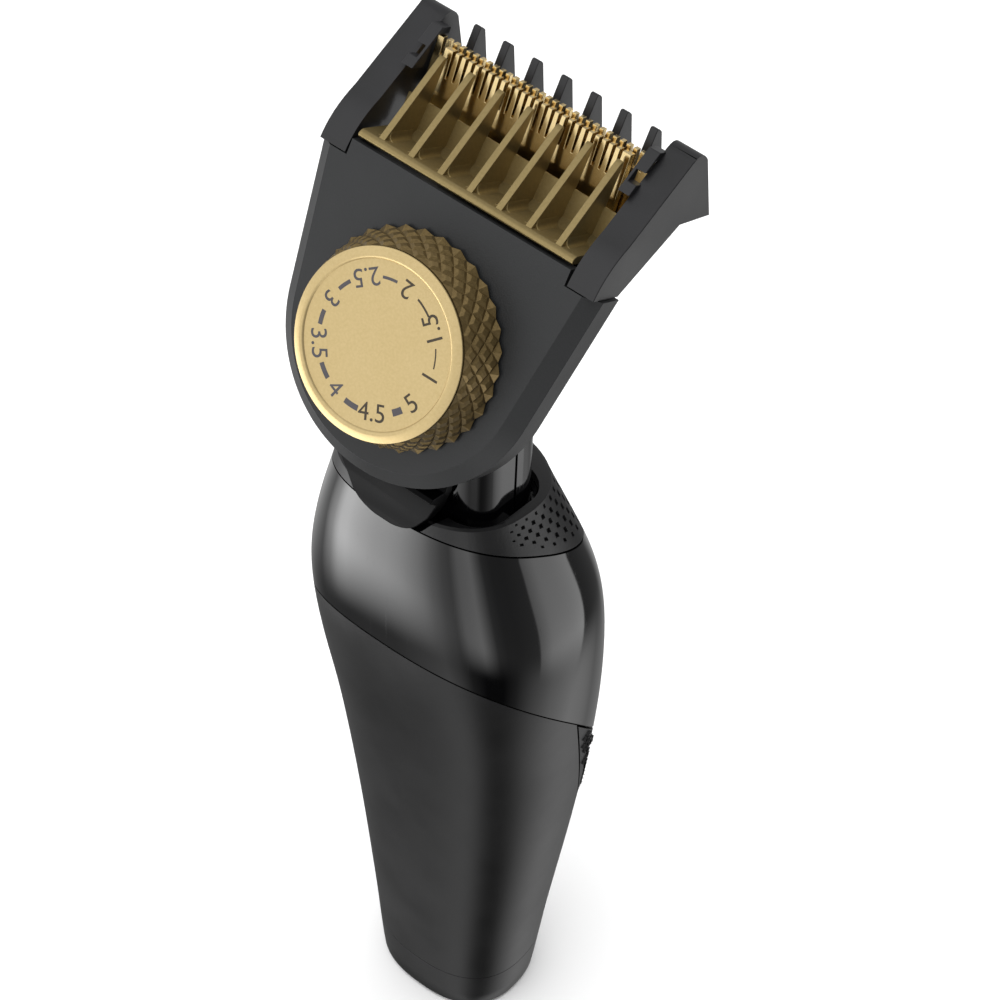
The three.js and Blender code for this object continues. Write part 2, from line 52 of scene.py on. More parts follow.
# %% [markdown]
# ## Two drawing boards
# The handle is drawn in the part's own frame. The head is drawn flat on its front plate:
# X across, Y up the plate and Z out of the dial. Both are in millimetres and are scaled to
# metres at the end. The head's board is read from the joints, so that it can't drift.

# %% Drawing boards
MM = 0.001
LIFT = 1.5
DIAL_POINT = Vector(JOINTS["dial_turn"]["pos_m"]) / MM
UP_PLATE = Vector(JOINTS["comb_slide"]["axis"]).normalized()
OUT_OF_PLATE = -Vector(JOINTS["dial_turn"]["axis"]).normalized()


def board(origin, across, up, out):
    turn = Matrix((across, up, out)).transposed().to_4x4()
    return Matrix.Translation(origin) @ turn


HANDLE = Matrix.Translation((0, 0, LIFT))
HEAD = board(DIAL_POINT, Vector((1, 0, 0)), UP_PLATE, OUT_OF_PLATE)
# The middle of the blade's cutting edge on the head's board, and its lean in degrees.
BLADE_EDGE, BLADE_LEAN = (0, 29.8, -8.1), 8
BLADE = HEAD @ Matrix.Translation(BLADE_EDGE) @ Matrix.Rotation(math.radians(BLADE_LEAN), 4, "X")
print("head board at", [round(x, 1) for x in DIAL_POINT], "up", [round(x, 3) for x in UP_PLATE])

# %% [markdown]
# ## Camera
# A product shot taken from above and to the right, with a long lens. The numbers are a
# place in millimetres and two directions, and the third direction follows from them.

# %% Camera
LENS_MM = 127.63
CAMERA_PLACE = Vector((168.49, -218.05, 443.88))
CAMERA_RIGHT = Vector((0.7795, 0.6259, 0.0253)).normalized()
CAMERA_UP = Vector((-0.4992, 0.5962, 0.6287))
camera_data = bpy.data.cameras.new("camera")
camera_data.sensor_width = 36
camera_data.lens = LENS_MM
camera_data.clip_start, camera_data.clip_end = 0.02, 20
camera = bpy.data.objects.new("camera", camera_data)
bpy.context.scene.collection.objects.link(camera)
back = CAMERA_RIGHT.cross(CAMERA_UP).normalized()
camera.matrix_world = board(CAMERA_PLACE * MM, CAMERA_RIGHT, back.cross(CAMERA_RIGHT), back)
bpy.context.scene.camera = camera
bpy.context.scene.view_settings.view_transform = "Standard"
print("camera at", [round(x, 3) for x in camera.location])

# %% [markdown]
# ## Material helpers
# Colours are written as sRGB hex values and turned to linear once. One function adds a
# node with its settings and its links.

# %% Material helpers


def srgb(code):
    channels = [int(code[i:i + 2], 16) / 255 for i in (1, 3, 5)]
    linear = [c / 12.92 if c <= 0.04045 else ((c + 0.055) / 1.055) ** 2.4 for c in channels]
    return (*linear, 1.0)


def node(tree, kind, inputs=None, **settings):
    made = tree.nodes.new(kind)
    for name, value in settings.items():
        setattr(made, name, value)
    for socket, value in (inputs or {}).items():
        if isinstance(value, bpy.types.NodeSocket):
            tree.links.new(value, made.inputs[socket])
        else:
            made.inputs[socket].default_value = value
    return made


def blank(name):
    material = bpy.data.materials.new(name)
    material.use_nodes = True
    material.node_tree.nodes.clear()
    return material, material.node_tree


# Nearly all of a noise texture's values lie between these two.
NOISE_LOW, NOISE_HIGH = 0.3, 0.7


def remap(tree, value, low, high):
    """The usual values of a noise texture, spread over a range."""
    made = node(tree, "ShaderNodeMapRange", {
        "Value": value, "From Min": NOISE_LOW, "From Max": NOISE_HIGH, "To Min": low,
        "To Max": high})
    return made.outputs["Result"]


print("material helpers ready")

# %% [markdown]
# ## Moulded plastics
# The shells and the head plate are most likely injection-moulded ABS. A spark-eroded mould
# leaves a fine grain, a polished mould a mirror. Handling adds soft patches where the gloss
# differs and, on the polished pieces, a few fine scratches. So one recipe takes the colour,
# the grain size in millimetres and how deep and rough the grain is, and each plastic gets
# its own values. Colours and gloss were matched by brightness to one lighting.

# %% Moulded plastic
SCRATCH_WIDTH, SCRATCH_LENGTH = 0.35, 14


def moulded(name, colour, worn, roughness, grain, depth, patch=9.0, spread=0.06, specular=0.5,
            scratches=0.0):
    material, tree = blank(name)
    place = node(tree, "ShaderNodeTexCoord").outputs["Object"]
    fine = node(tree, "ShaderNodeTexNoise",
                {"Vector": place, "Scale": 1 / (grain * MM), "Detail": 3})
    broad = node(tree, "ShaderNodeTexNoise",
                 {"Vector": place, "Scale": 1 / (patch * MM), "Detail": 4})
    tint = node(tree, "ShaderNodeMix", {0: remap(tree, broad.outputs["Fac"], 0.0, 1.0),
                6: srgb(colour), 7: srgb(worn)}, data_type="RGBA")
    rough = remap(tree, broad.outputs["Fac"], roughness - spread, roughness + spread)
    if scratches:
        sizes = (SCRATCH_WIDTH, SCRATCH_WIDTH, SCRATCH_LENGTH)
        streaks = node(tree, "ShaderNodeMapping", {"Vector": place, "Rotation": (0.4, 0.3, 0.9),
                       "Scale": tuple(1 / (size * MM) for size in sizes)})
        lines = node(tree, "ShaderNodeTexNoise",
                     {"Vector": streaks.outputs["Vector"], "Scale": 1.0, "Detail": 2})
        rare = node(tree, "ShaderNodeMapRange", {"Value": lines.outputs["Fac"], "From Min": 0.66,
                    "From Max": 0.74, "To Min": 0.0, "To Max": scratches})
        rough = node(tree, "ShaderNodeMath", {0: rough, 1: rare.outputs["Result"]},
                     operation="ADD").outputs[0]
    bump = node(tree, "ShaderNodeBump",
                {"Height": fine.outputs["Fac"], "Strength": 1.0, "Distance": depth * MM})
    shader = node(tree, "ShaderNodeBsdfPrincipled",
                  {"Base Color": tint.outputs[2], "Roughness": rough,
                  "Normal": bump.outputs["Normal"], "IOR": 1.5, "Specular IOR Level": specular})
    node(tree, "ShaderNodeOutputMaterial", {"Surface": shader.outputs[0]})
    return material


# Polished black ABS: a mirror with a trace of orange peel, and hairline scratches.
gloss_black = moulded("polished_black_abs", "#050506", "#08080a", 0.07, 2.6, 0.0016, spread=0.02,
                      scratches=0.1)
# Textured black ABS of the lower shell: satin, from a finely eroded mould.
satin_black = moulded("satin_black_abs", "#0e0e0f", "#131314", 0.31, 0.22, 0.005, spread=0.03)
# Thermoplastic rubber over the shoulder and the back: dry and soft, with a fine sanded feel.
grip_rubber = moulded("black_grip_rubber", "#131314", "#1b1b1c", 0.44, 0.3, 0.012, spread=0.06,
                      specular=0.4)
# Black nylon of the comb frame, tongue and neck trim, with low gloss.
black_nylon = moulded("black_nylon", "#151516", "#1d1d1f", 0.40, 0.35, 0.008, spread=0.05)
# Charcoal ABS of the head plate, with an even sparkle grain that shows at close range.
cover_grey = moulded("charcoal_abs", "#1b1c1d", "#202122", 0.4, 0.2, 0.014, spread=0.04,
                     specular=0.42)
# Black polyoxymethylene of the release tongue, which has to slide and flex. Its near-black
# colour and its specular level, set far below that of a real plastic only to make it dark
# enough, are painted shade: they stand in for the dark surroundings the tongue reflects.
tongue_painted_dark = moulded("black_polyoxymethylene_painted_dark", "#070708", "#0b0b0c", 0.3, 0.4, 0.003,
                       specular=0.04)
print("plastics ready")

# %% [markdown]
# ## Lacquered and plated pieces
# The dial ring and the rib comb are taken to be plastic with a bronze metallic lacquer, in
# which small flakes change the colour from point to point. The dial's cap is taken to be an
# anodised disc, and the blades steel with a polished gold titanium coating.

# %% Metallic finishes


def metallic(name, colour, shade, roughness, metal, flake, bump_depth, stretch=(1, 1, 1),
             spread=0.05):
    material, tree = blank(name)
    place = node(tree, "ShaderNodeTexCoord").outputs["Object"]
    along = node(tree, "ShaderNodeMapping", {"Vector": place, "Scale": stretch}).outputs["Vector"]
    flakes = node(tree, "ShaderNodeTexNoise",
                  {"Vector": along, "Scale": 1 / (flake * MM), "Detail": 3})
    broad = node(tree, "ShaderNodeTexNoise", {"Vector": place, "Scale": 1 / (7 * MM), "Detail": 3})
    share = node(tree, "ShaderNodeMath", {0: remap(tree, flakes.outputs["Fac"], 0, 0.7),
                 1: remap(tree, broad.outputs["Fac"], 0, 0.3)}, operation="ADD")
    tint = node(tree, "ShaderNodeMix", {0: share.outputs[0], 6: srgb(colour), 7: srgb(shade)},
                data_type="RGBA")
    bump = node(tree, "ShaderNodeBump", {"Height": flakes.outputs["Fac"], "Strength": 1.0,
                "Distance": bump_depth * MM})
    shader = node(tree, "ShaderNodeBsdfPrincipled", {
        "Base Color": tint.outputs[2], "Metallic": metal, "Normal": bump.outputs["Normal"],
        "Roughness": remap(tree, broad.outputs["Fac"], roughness - spread, roughness + spread)})
    node(tree, "ShaderNodeOutputMaterial", {"Surface": shader.outputs[0]})
    return material


# Bronze metallic lacquer on the knurled ring.
dial_bronze = metallic("bronze_lacquer", "#85714a", "#6c5b3a", 0.3, 0.75, 0.35, 0.006)
# Pale bronze lacquer on the ribs.
rib_bronze = metallic("pale_bronze_lacquer", "#98865c", "#8b7a51", 0.36, 0.8, 0.3, 0.003)
# Anodised aluminium disc, satin, champagne gold.
dial_gold = metallic("champagne_anodised_aluminium", "#cbb585", "#c0aa79", 0.36, 0.85, 0.3, 0.003)
# Gold titanium nitride on polished steel.
blade_gold = metallic("gold_titanium_nitride", "#ecd6a4", "#dfc48a", 0.2, 1.0, 0.5, 0.0012,
                      stretch=(6, 1, 1), spread=0.04)
# Turned and ground steel of the shaft, screws and springs.
bare_steel = metallic("ground_steel", "#b4b6b9", "#9a9ca0", 0.32, 1.0, 0.3, 0.002,
                      stretch=(1, 1, 6))
# Phosphor bronze of the charging pins.
contact_bronze = metallic("phosphor_bronze", "#c58a4a", "#ad7338", 0.3, 1.0, 0.3, 0.001)
print("metallic finishes ready")

# %% [markdown]
# ## Inner parts and print
# The circuit board is green solder mask over glass cloth, whose 0.5 mm weave shows as low
# bumps. The cell has a printed sleeve. The status light is a clear lens over a white lamp.
# The dial's marks are pad printed in matt dark brown ink. On the numerals between 100 and
# 280 degrees round the dial, and on every bar past 100 degrees, the ink is a lighter, glossier
# grey instead: a painted sheen, which turns with the dial.

# %% Inner materials
solder_mask = moulded("green_solder_mask", "#174d2a", "#1f6236", 0.35, 0.5, 0.02)
cell_sleeve = moulded("blue_cell_sleeve", "#2453a0", "#2b5fb4", 0.3, 1.2, 0.01)
lamp_lens = moulded("milky_polycarbonate", "#cfd6da", "#dde3e6", 0.15, 0.8, 0.002)
printed_ink = moulded("matt_brown_ink", "#30281b", "#3a3122", 0.6, 0.15, 0.004, patch=3)
# Lighter, glossier grey copy of the brown ink: a painted sheen on some of the dial's marks.
sheen_painted_ink = moulded("ink_with_painted_grey_sheen", "#3d3a3e", "#474448", 0.4, 0.15, 0.004, patch=3)

SLOT_FINISH = {
    "gloss_black": gloss_black, "satin_black": satin_black, "grip_rubber": grip_rubber,
    "black_plastic": black_nylon, "cover_grey": cover_grey, "dial_bronze": dial_bronze,
    "dial_gold": dial_gold, "rib_bronze": rib_bronze, "blade_gold": blade_gold,
    "steel": bare_steel, "contact": contact_bronze, "board": solder_mask, "cell": cell_sleeve,
    "lamp": lamp_lens,
}
for part in frame["record"]["subparts"]:
    cad = frame["nodes"][part["node"]].data
    cad.materials.clear()
    cad.materials.append(SLOT_FINISH[part["material_slot"]])

# %% [markdown]
# ## Shape helpers
# A flat outline is raised into a plate, a side outline is pulled sideways, and a sheet of
# quads is wrapped round the handle. A finished piece is scaled to metres, gets its rounded
# edges from a Bevel modifier, and rides on its body.

# %% Shape helpers


def tidy(bm):
    bmesh.ops.remove_doubles(bm, verts=bm.verts, dist=0.001)
    bmesh.ops.recalc_face_normals(bm, faces=bm.faces)
    return bm


def of_kind(geom, kind):
    return [item for item in geom if isinstance(item, kind)]


def whole(bm):
    return bm.verts[:] + bm.edges[:] + bm.faces[:]


def thicken(bm, faces, height):
    """Extrudes flat faces along Z."""
    top = bmesh.ops.extrude_face_region(bm, geom=faces)["geom"]
    bmesh.ops.translate(bm, vec=(0, 0, height), verts=of_kind(top, bmesh.types.BMVert))


def raised(outline, low, high):
    """A plate: an (x, y) outline raised from one height to another."""
    bm = bmesh.new()
    face = bm.faces.new([bm.verts.new((x, y, low)) for x, y in outline])
    thicken(bm, [face], high - low)
    return tidy(bm)


def crowned(bm, steps):
    """Insets the highest face again and again, each time with its own rise or dip."""
    top = max(bm.faces, key=lambda face: face.calc_center_median().z)
    for thickness, depth in steps:
        bmesh.ops.inset_region(bm, faces=[top], thickness=thickness, depth=depth,
                               use_even_offset=True)
    return bm


def sideways(outline, left, right):
    """A side outline in (y, z), pulled along X."""
    bm = raised(outline, left, right)
    turn = Matrix(((0, 0, 1, 0), (1, 0, 0, 0), (0, 1, 0, 0), (0, 0, 0, 1)))
    bmesh.ops.transform(bm, matrix=turn, verts=bm.verts)
    return tidy(bm)


def gather(*bodies):
    """Several bodies in one mesh."""
    together = bmesh.new()
    for bm in bodies:
        scratch = bpy.data.meshes.new("scratch")
        bm.to_mesh(scratch)
        bm.free()
        together.from_mesh(scratch)
        bpy.data.meshes.remove(scratch)
    return together


def arc(cx, cy, radius, start, end, steps):
    turns = [math.radians(start + (end - start) * i / steps) for i in range(steps + 1)]
    return [(cx + radius * math.cos(t), cy + radius * math.sin(t)) for t in turns]


def bend(p0, p1, p2, steps=8):
    """Points of a quadratic curve, without its first one."""
    shares = [i / steps for i in range(1, steps + 1)]
    return [tuple(a * (1 - t) ** 2 + 2 * b * t * (1 - t) + c * t * t
                  for a, b, c in zip(p0, p1, p2)) for t in shares]


def wrap(columns, rows, place, closed=True):
    """A sheet of quads; place(column, row) gives each corner."""
    bm = bmesh.new()
    bmesh.ops.create_grid(bm, x_segments=columns, y_segments=rows, size=0.5)
    cell = bm.faces.layers.int.new("cell")
    for face in bm.faces:
        middle = face.calc_center_median()
        face[cell] = int((middle.y + 0.5) * rows) * columns + int((middle.x + 0.5) * columns)
    for vert in bm.verts:
        vert.co = place(round((vert.co.x + 0.5) * columns), round((vert.co.y + 0.5) * rows))
    if closed:
        tidy(bm)
    return bm


def to_object(bm, name, place):
    bmesh.ops.transform(bm, matrix=Matrix.Scale(MM, 4) @ place, verts=bm.verts)
    mesh = bpy.data.meshes.new(name)
    bm.to_mesh(mesh)
    bm.free()
    made = bpy.data.objects.new(name, mesh)
    bpy.context.scene.collection.objects.link(made)
    return made


def apply_modifiers(thing):
    graph = bpy.context.evaluated_depsgraph_get()
    final = bpy.data.meshes.new_from_object(thing.evaluated_get(graph))
    thing.modifiers.clear()
    thing.data = final


def carve(thing, *cutters, solver="EXACT"):
    """Cuts closed bodies, each a bmesh and its drawing board, out of a piece."""
    for bm, place in cutters:
        tool = to_object(bm, "cutter_tool", place)
        modifier = thing.modifiers.new("cut", "BOOLEAN")
        modifier.object, modifier.operation, modifier.solver = tool, "DIFFERENCE", solver
        apply_modifiers(thing)
        bpy.data.objects.remove(tool)


def finish(thing, body, material, stands_for=(), edge=0.0, angle=32, segments=2):
    thing.data.materials.clear()
    thing.data.materials.append(material)
    thing.data.polygons.foreach_set("use_smooth", [True] * len(thing.data.polygons))
    thing.data.set_sharp_from_angle(angle=math.radians(angle))
    if edge:
        bevel = thing.modifiers.new("edge", "BEVEL")
        bevel.width, bevel.segments, bevel.limit_method = edge * MM, segments, "ANGLE"
        bevel.angle_limit, bevel.harden_normals = math.radians(angle), True
        bevel.use_clamp_overlap = True
    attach(thing, body)
    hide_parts(*stands_for)
    print(thing.name, "has", len(thing.data.polygons), "faces")
    return thing


# %% [markdown]
# ## The handle's skin
# The handle's section is a soft rectangle, a superellipse that is deeper than an ellipse at
# its corners. Its width and its centre change smoothly with height. The stations are read
# through a curve and then averaged a few times, so that reflections run without kinks.

# %% Handle skin
STATIONS = [
    (-1.5, 10.4, 0), (-0.7, 10.9, 0), (15, 12.4, 0.3), (40, 15.1, 0.8), (62, 17.3, 0.3),
    (80, 18.6, -1.5), (92, 18.4, -3), (104, 15.9, -4.9), (116, 12.7, -6.3), (124, 12, -6.6),
]
DEPTH_RATIO = 0.83
POWER = 2 / 2.4
SEAM = (70.2, -1.36, -0.0097)
RING = (104.1, -0.72, -0.002)
SHOULDER = (114, -0.22, 0)
STEP, STEPS = 0.5, 252


def through_stations(z, column):
    last = len(STATIONS) - 1
    i = max(0, min(last - 1, sum(s[0] <= z for s in STATIONS) - 1))

    def slope(j):
        a, b = STATIONS[max(0, j - 1)], STATIONS[min(last, j + 1)]
        return (b[column] - a[column]) / (b[0] - a[0])

    low, high = STATIONS[i], STATIONS[i + 1]
    span = high[0] - low[0]
    t = min(max((z - low[0]) / span, 0), 1)
    rise = t * t * (3 - 2 * t)
    bulge = span * t * (1 - t) * (slope(i) * (1 - t) - slope(i + 1) * t)
    return low[column] * (1 - rise) + high[column] * rise + bulge


def averaged(column, rounds=60):
    values = [through_stations(STATIONS[0][0] + STEP * i, column) for i in range(STEPS)]
    for _ in range(rounds):
        middle = [(a + 2 * b + c) / 4 for a, b, c in zip(values, values[1:], values[2:])]
        values = values[:4] + middle[3:-3] + values[-4:]
    return values


PROFILE = {column: averaged(column) for column in (1, 2)}


def profile(z, column):
    share = min(max((z - STATIONS[0][0]) / STEP, 0), len(PROFILE[column]) - 1.001)
    i = int(share)
    return PROFILE[column][i] + (PROFILE[column][i + 1] - PROFILE[column][i]) * (share - i)


def signed_power(value):
    return math.copysign(abs(value) ** POWER, value)


def skin(angle, z, inset=0.0):
    half = profile(z, 1)
    x = (half - inset) * signed_power(math.cos(angle))
    y = (half * DEPTH_RATIO - inset) * signed_power(math.sin(angle))
    return Vector((x, y + profile(z, 2), z))


def curve_height(curve, y):
    return curve[0] + curve[1] * y + curve[2] * y * y


def meeting(curve, angle, inset=0.0, shift=0.0):
    """Height at which a curved parting line crosses the skin at one angle."""
    z = curve[0]
    for _ in range(12):
        z = 0.5 * z + 0.5 * (curve_height(curve, skin(angle, z, inset).y) + shift)
    return z


print("widest at", max(PROFILE[1]), "mm half width")

# %% [markdown]
# ## Even columns
# Equal steps of angle crowd at the corners of a superellipse. The dimples need equal
# steps along the skin, so a table turns a distance along the skin into an angle.

# %% Even columns
FINE = 1440
HALF_AT_TABLE = 17.0
turn_table = [2 * math.pi * i / FINE - math.pi / 2 for i in range(FINE + 1)]
table_points = [(HALF_AT_TABLE * signed_power(math.cos(a)),
                 HALF_AT_TABLE * DEPTH_RATIO * signed_power(math.sin(a))) for a in turn_table]
run_table = [0.0]
for (x0, y0), (x1, y1) in zip(table_points, table_points[1:]):
    run_table.append(run_table[-1] + math.hypot(x1 - x0, y1 - y0))
AROUND = run_table[-1]


def angle_after(run):
    """Angle, from the middle of the front, after a distance along the skin."""
    run = min(max(run, 0), AROUND - 1e-6)
    low, high = 0, FINE
    while high - low > 1:
        middle = (low + high) // 2
        low, high = (middle, high) if run_table[middle] <= run else (low, middle)
    share = (run - run_table[low]) / (run_table[high] - run_table[low])
    return turn_table[low] + (turn_table[high] - turn_table[low]) * share


print("skin is", round(AROUND, 1), "mm round")

# %% [markdown]
# ## Lower shell
# One tapered tube, moulded in one shot with its open end at the seam. Its back is cut away
# along a slanted plane for the rubber panel. A wrapped sheet of quads keeps the curved seam
# exact; the plane then cuts it, and Solidify gives the wall its thickness.

# %% Lower shell
COLUMNS, LOWER_ROWS = 176, 56
GAP = 0.3
SEAM_SHIFT = GAP / 2
LOWER_START = 7.2
LOWER_WALL = 1.6
PANEL_POINT, PANEL_NORMAL = Vector((0, 0.5, 69.5)), Vector((0, 1, 0.228)).normalized()


def solid_wall(thing, thickness):
    wall = thing.modifiers.new("wall", "SOLIDIFY")
    wall.thickness, wall.offset, wall.use_even_offset = thickness * MM, -1, False
    apply_modifiers(thing)


def lower_skin(column, row):
    angle = 2 * math.pi * column / COLUMNS
    top = meeting(SEAM, angle, shift=-SEAM_SHIFT)
    return skin(angle, LOWER_START + (top - LOWER_START) * row / LOWER_ROWS)


sheet = wrap(COLUMNS, LOWER_ROWS, lower_skin)
bmesh.ops.bisect_plane(sheet, geom=whole(sheet), dist=0.001,
                       plane_co=PANEL_POINT - PANEL_NORMAL * GAP / 2, plane_no=PANEL_NORMAL,
                       clear_outer=True)
lower_shell = to_object(tidy(sheet), "lower_shell_moulding", HANDLE)
solid_wall(lower_shell, LOWER_WALL)
finish(lower_shell, "handle", satin_black, ["lower_shell"], edge=0.22)

# %% [markdown]
# ## Dimpled rubber
# The grips are rubber with small oblong dimples in staggered rows. They are real pockets:
# the sheet's columns and rows are spaced so that every second cell is a pocket's mouth,
# which is inset and pushed in. Near the panel's border the mouths get smaller.

# %% Dimple helper
# Widths of a mouth and of the land beside it, across and along the handle.
CELL, TALL = (0.42, 0.16), (0.66, 0.30)
LIP, POCKET_DEPTH = 0.06, 0.34
# Pockets by distance to the border: nearest, farthest, and how much the mouth shrinks.
FADE_OUT = ((2.6, 99, 0.02), (1.9, 2.6, 0.06), (1.25, 1.9, 0.11))


def spaced(count, widths):
    """Running positions of lines that alternate between two widths."""
    marks = [0.0]
    for i in range(count):
        marks.append(marks[-1] + widths[i % 2])
    return marks


def dimple(bm, distance_to_border, columns):
    """Pushes in the staggered cells that lie clear of the border."""
    cell = bm.faces.layers.int["cell"]
    mouths = {}
    for face in bm.faces:
        column, row = face[cell] % columns, face[cell] // columns
        if column % 2 == 0 and row % 2 == 0 and (column // 2 + row // 2) % 2 == 0:
            mouths[face] = distance_to_border(face.calc_center_median())
    for nearest, farthest, shrink in FADE_OUT:
        chosen = [face for face, distance in mouths.items() if nearest < distance <= farthest]
        bmesh.ops.inset_individual(bm, faces=chosen, thickness=shrink, depth=0,
                                   use_even_offset=True)
        bmesh.ops.inset_individual(bm, faces=chosen, thickness=LIP, depth=-POCKET_DEPTH,
                                   use_even_offset=True)
        print("  pockets", len(chosen))


# %% Rear grip
PANEL_COLUMNS, PANEL_ROWS = 176, 108
across = spaced(PANEL_COLUMNS, CELL)
down = spaced(PANEL_ROWS, TALL)
PANEL_START = AROUND / 2 - across[-1] / 2
PANEL_SHIFT, PANEL_WALL = 0.45, 0.9


def panel_skin(column, row):
    angle = angle_after(PANEL_START + across[column])
    return skin(angle, meeting(SEAM, angle, shift=-PANEL_SHIFT) - down[PANEL_ROWS - row])


def panel_border(point):
    below_seam = curve_height(SEAM, point.y) - 0.3 - point.z
    return min((point - PANEL_POINT).dot(PANEL_NORMAL), below_seam * 0.8)


panel = wrap(PANEL_COLUMNS, PANEL_ROWS, panel_skin, closed=False)
bmesh.ops.recalc_face_normals(panel, faces=panel.faces)
if sum(face.normal.y for face in panel.faces) < 0:
    bmesh.ops.reverse_faces(panel, faces=panel.faces)
dimple(panel, panel_border, PANEL_COLUMNS)
bmesh.ops.bisect_plane(panel, geom=whole(panel), dist=0.001,
                       plane_co=PANEL_POINT + PANEL_NORMAL * GAP / 2, plane_no=PANEL_NORMAL,
                       clear_inner=True)
rear_grip = to_object(panel, "rear_grip_rubber", HANDLE)
solid_wall(rear_grip, PANEL_WALL)
finish(rear_grip, "handle", grip_rubber, ["rear_grip"], edge=0, angle=40)

# %% [markdown]
# ## Neck outline
# The neck is a rounded rectangle. The upper shell and the shoulder leave a hole of that
# shape and the neck fills it, so its outline comes first, read by angle like the skin.

# %% Neck outline
NECK_HALF = (11.0, 6.25)
NECK_Y = -6.45
NECK_CORNER = 4.0


def neck_outline(angle, inset=0.0):
    """Point on the neck's rounded rectangle, in the direction of an angle."""
    hx, hy, r = NECK_HALF[0] - inset, NECK_HALF[1] - inset, max(NECK_CORNER - inset * 0.6, 0.5)
    c, s = math.cos(angle), math.sin(angle)
    reach = min(hx / max(abs(c), 1e-9), hy / max(abs(s), 1e-9))
    if abs(c) * reach > hx - r and abs(s) * reach > hy - r:
        kx, ky = hx - r, hy - r
        along = abs(c) * kx + abs(s) * ky
        reach = along + math.sqrt(max(along * along - kx * kx - ky * ky + r * r, 0))
    return Vector((c * reach, s * reach + NECK_Y, 0))


print("neck is", 2 * NECK_HALF[0], "by", 2 * NECK_HALF[1], "mm")

# %% [markdown]
# ## Room for the release tongue
# The tongue's lip dips into the top of the handle, so the upper shell and the shoulder get
# a notch of its front outline, a little larger all round. The FAST solver cuts it, because
# the EXACT one empties these thin folded walls. It is a known weak spot: the cut is clean
# at the lip's sides only, in the middle, 8 mm wide, the shell's edge is left standing inside
# the lip, and the faces of the cut differ a little from one run to the next.

# %% Tongue outline and notch
# Half outline on the head's board, from the plate down to the round end.
TONGUE_CLEARANCE, NOTCH_TOP, NOTCH_BACK = 0.5, -12, -15.5
TONGUE_FRONT = [(7.9, -13), (8.1, -17.0), (7.6, -19.4), (6.4, -22), (4.9, -24.2)]
TONGUE_FRONT += bend((4.9, -24.2), (3.2, -26.15), (0, -26.2), 6)


def tongue_notch():
    half = [(x + (TONGUE_CLEARANCE if x else 0), y - TONGUE_CLEARANCE) for x, y in TONGUE_FRONT]
    half[0] = (TONGUE_FRONT[0][0] + TONGUE_CLEARANCE, NOTCH_TOP)
    return raised(half + [(-x, y) for x, y in half[-2::-1]], NOTCH_BACK, 0)


print("tongue is", 2 * max(x for x, y in TONGUE_FRONT), "mm wide")

# %% [markdown]
# ## Upper shell
# The polished front shell carries on above the rubber shoulder as a ledge round the neck.
# The whole path is one sheet: up the skin, in under the rubber, up the core, in to the neck
# hole and down its wall. The button and the lamp openings are cut through its back.

# %% Upper shell
UNDER_RUBBER, LEDGE_DROP, HOLE_DEPTH, UPPER_WALL = 1.9, 1.6, 8, 1.2
# The sheet's rows: the skin's last, the core's last, and the bottom of the neck hole.
SKIN_ROW, CORE_ROW, HOLE_ROW = 50, 55, 57
BUTTON_Z, BUTTON_HALF, BUTTON_CORNER = 84, (5, 8), 4.5
LAMP_DROP, LAMP_RADIUS = 13, 1.0


def upper_skin(column, row):
    angle = 2 * math.pi * column / COLUMNS
    bottom, top = meeting(SEAM, angle, shift=SEAM_SHIFT), meeting(RING, angle, shift=-SEAM_SHIFT)
    if row <= SKIN_ROW:
        return skin(angle, bottom + (top - bottom) * row / SKIN_ROW)
    core_top = meeting(SHOULDER, angle, inset=UNDER_RUBBER, shift=-LEDGE_DROP)
    if row <= CORE_ROW:
        share = (row - SKIN_ROW - 1) / (CORE_ROW - SKIN_ROW - 1)
        return skin(angle, top + (core_top - top) * share, UNDER_RUBBER)
    rim = neck_outline(angle, -GAP)
    rim.z = curve_height(SHOULDER, rim.y) - LEDGE_DROP - (HOLE_DEPTH if row == HOLE_ROW else 0)
    return rim


def rounded_box(half_x, half_z, corner, steps=8):
    points = []
    for sx, sz, start in ((1, 1, 0), (-1, 1, 90), (-1, -1, 180), (1, -1, 270)):
        points += arc(sx * (half_x - corner), sz * (half_z - corner), corner, start, start + 90,
                      steps)
    return points


BACK = board(Vector((0, 0, BUTTON_Z + LIFT)), Vector((-1, 0, 0)), Vector((0, 0, 1)),
             Vector((0, 1, 0)))
upper_shell = to_object(wrap(COLUMNS, HOLE_ROW, upper_skin), "upper_shell_moulding", HANDLE)
solid_wall(upper_shell, UPPER_WALL)
button_hole = rounded_box(*(half + GAP for half in BUTTON_HALF), BUTTON_CORNER + GAP)
lamp_hole = arc(0, -LAMP_DROP, LAMP_RADIUS + GAP, 0, 345, 23)
carve(upper_shell, (raised(button_hole, 6, 25), BACK), (raised(lamp_hole, 6, 25), BACK))
carve(upper_shell, (tongue_notch(), HEAD), solver="FAST")
finish(upper_shell, "handle", gloss_black, ["upper_shell"], edge=0.16)

# %% [markdown]
# ## Shoulder grip
# A rubber ring closes the top of the handle. Its front is plain, and its sides and back
# carry the same dimples as the panel. The sheet runs up the skin, in across the top and
# down inside the gap round the neck.

# %% Shoulder grip
SHOULDER_COLUMNS = 180
RING_ROWS = 14
shoulder_marks = spaced(SHOULDER_COLUMNS, CELL)
SHOULDER_SCALE = AROUND / shoulder_marks[-1]
RECESS, RUBBER_WALL = 0.9, 0.5


def shoulder_skin(column, row):
    angle = angle_after(shoulder_marks[column] * SHOULDER_SCALE)
    bottom, top = meeting(RING, angle, shift=SEAM_SHIFT), meeting(SHOULDER, angle)
    heights = spaced(RING_ROWS, TALL)
    if row <= RING_ROWS:
        return skin(angle, bottom + (top - 0.25 - bottom) * heights[row] / heights[-1])
    if row == RING_ROWS + 1:
        return skin(angle, top, 0.3)
    rim = neck_outline(angle, -RECESS)
    rim.z = curve_height(SHOULDER, rim.y) - (1.5 if row == RING_ROWS + 3 else 0)
    return rim


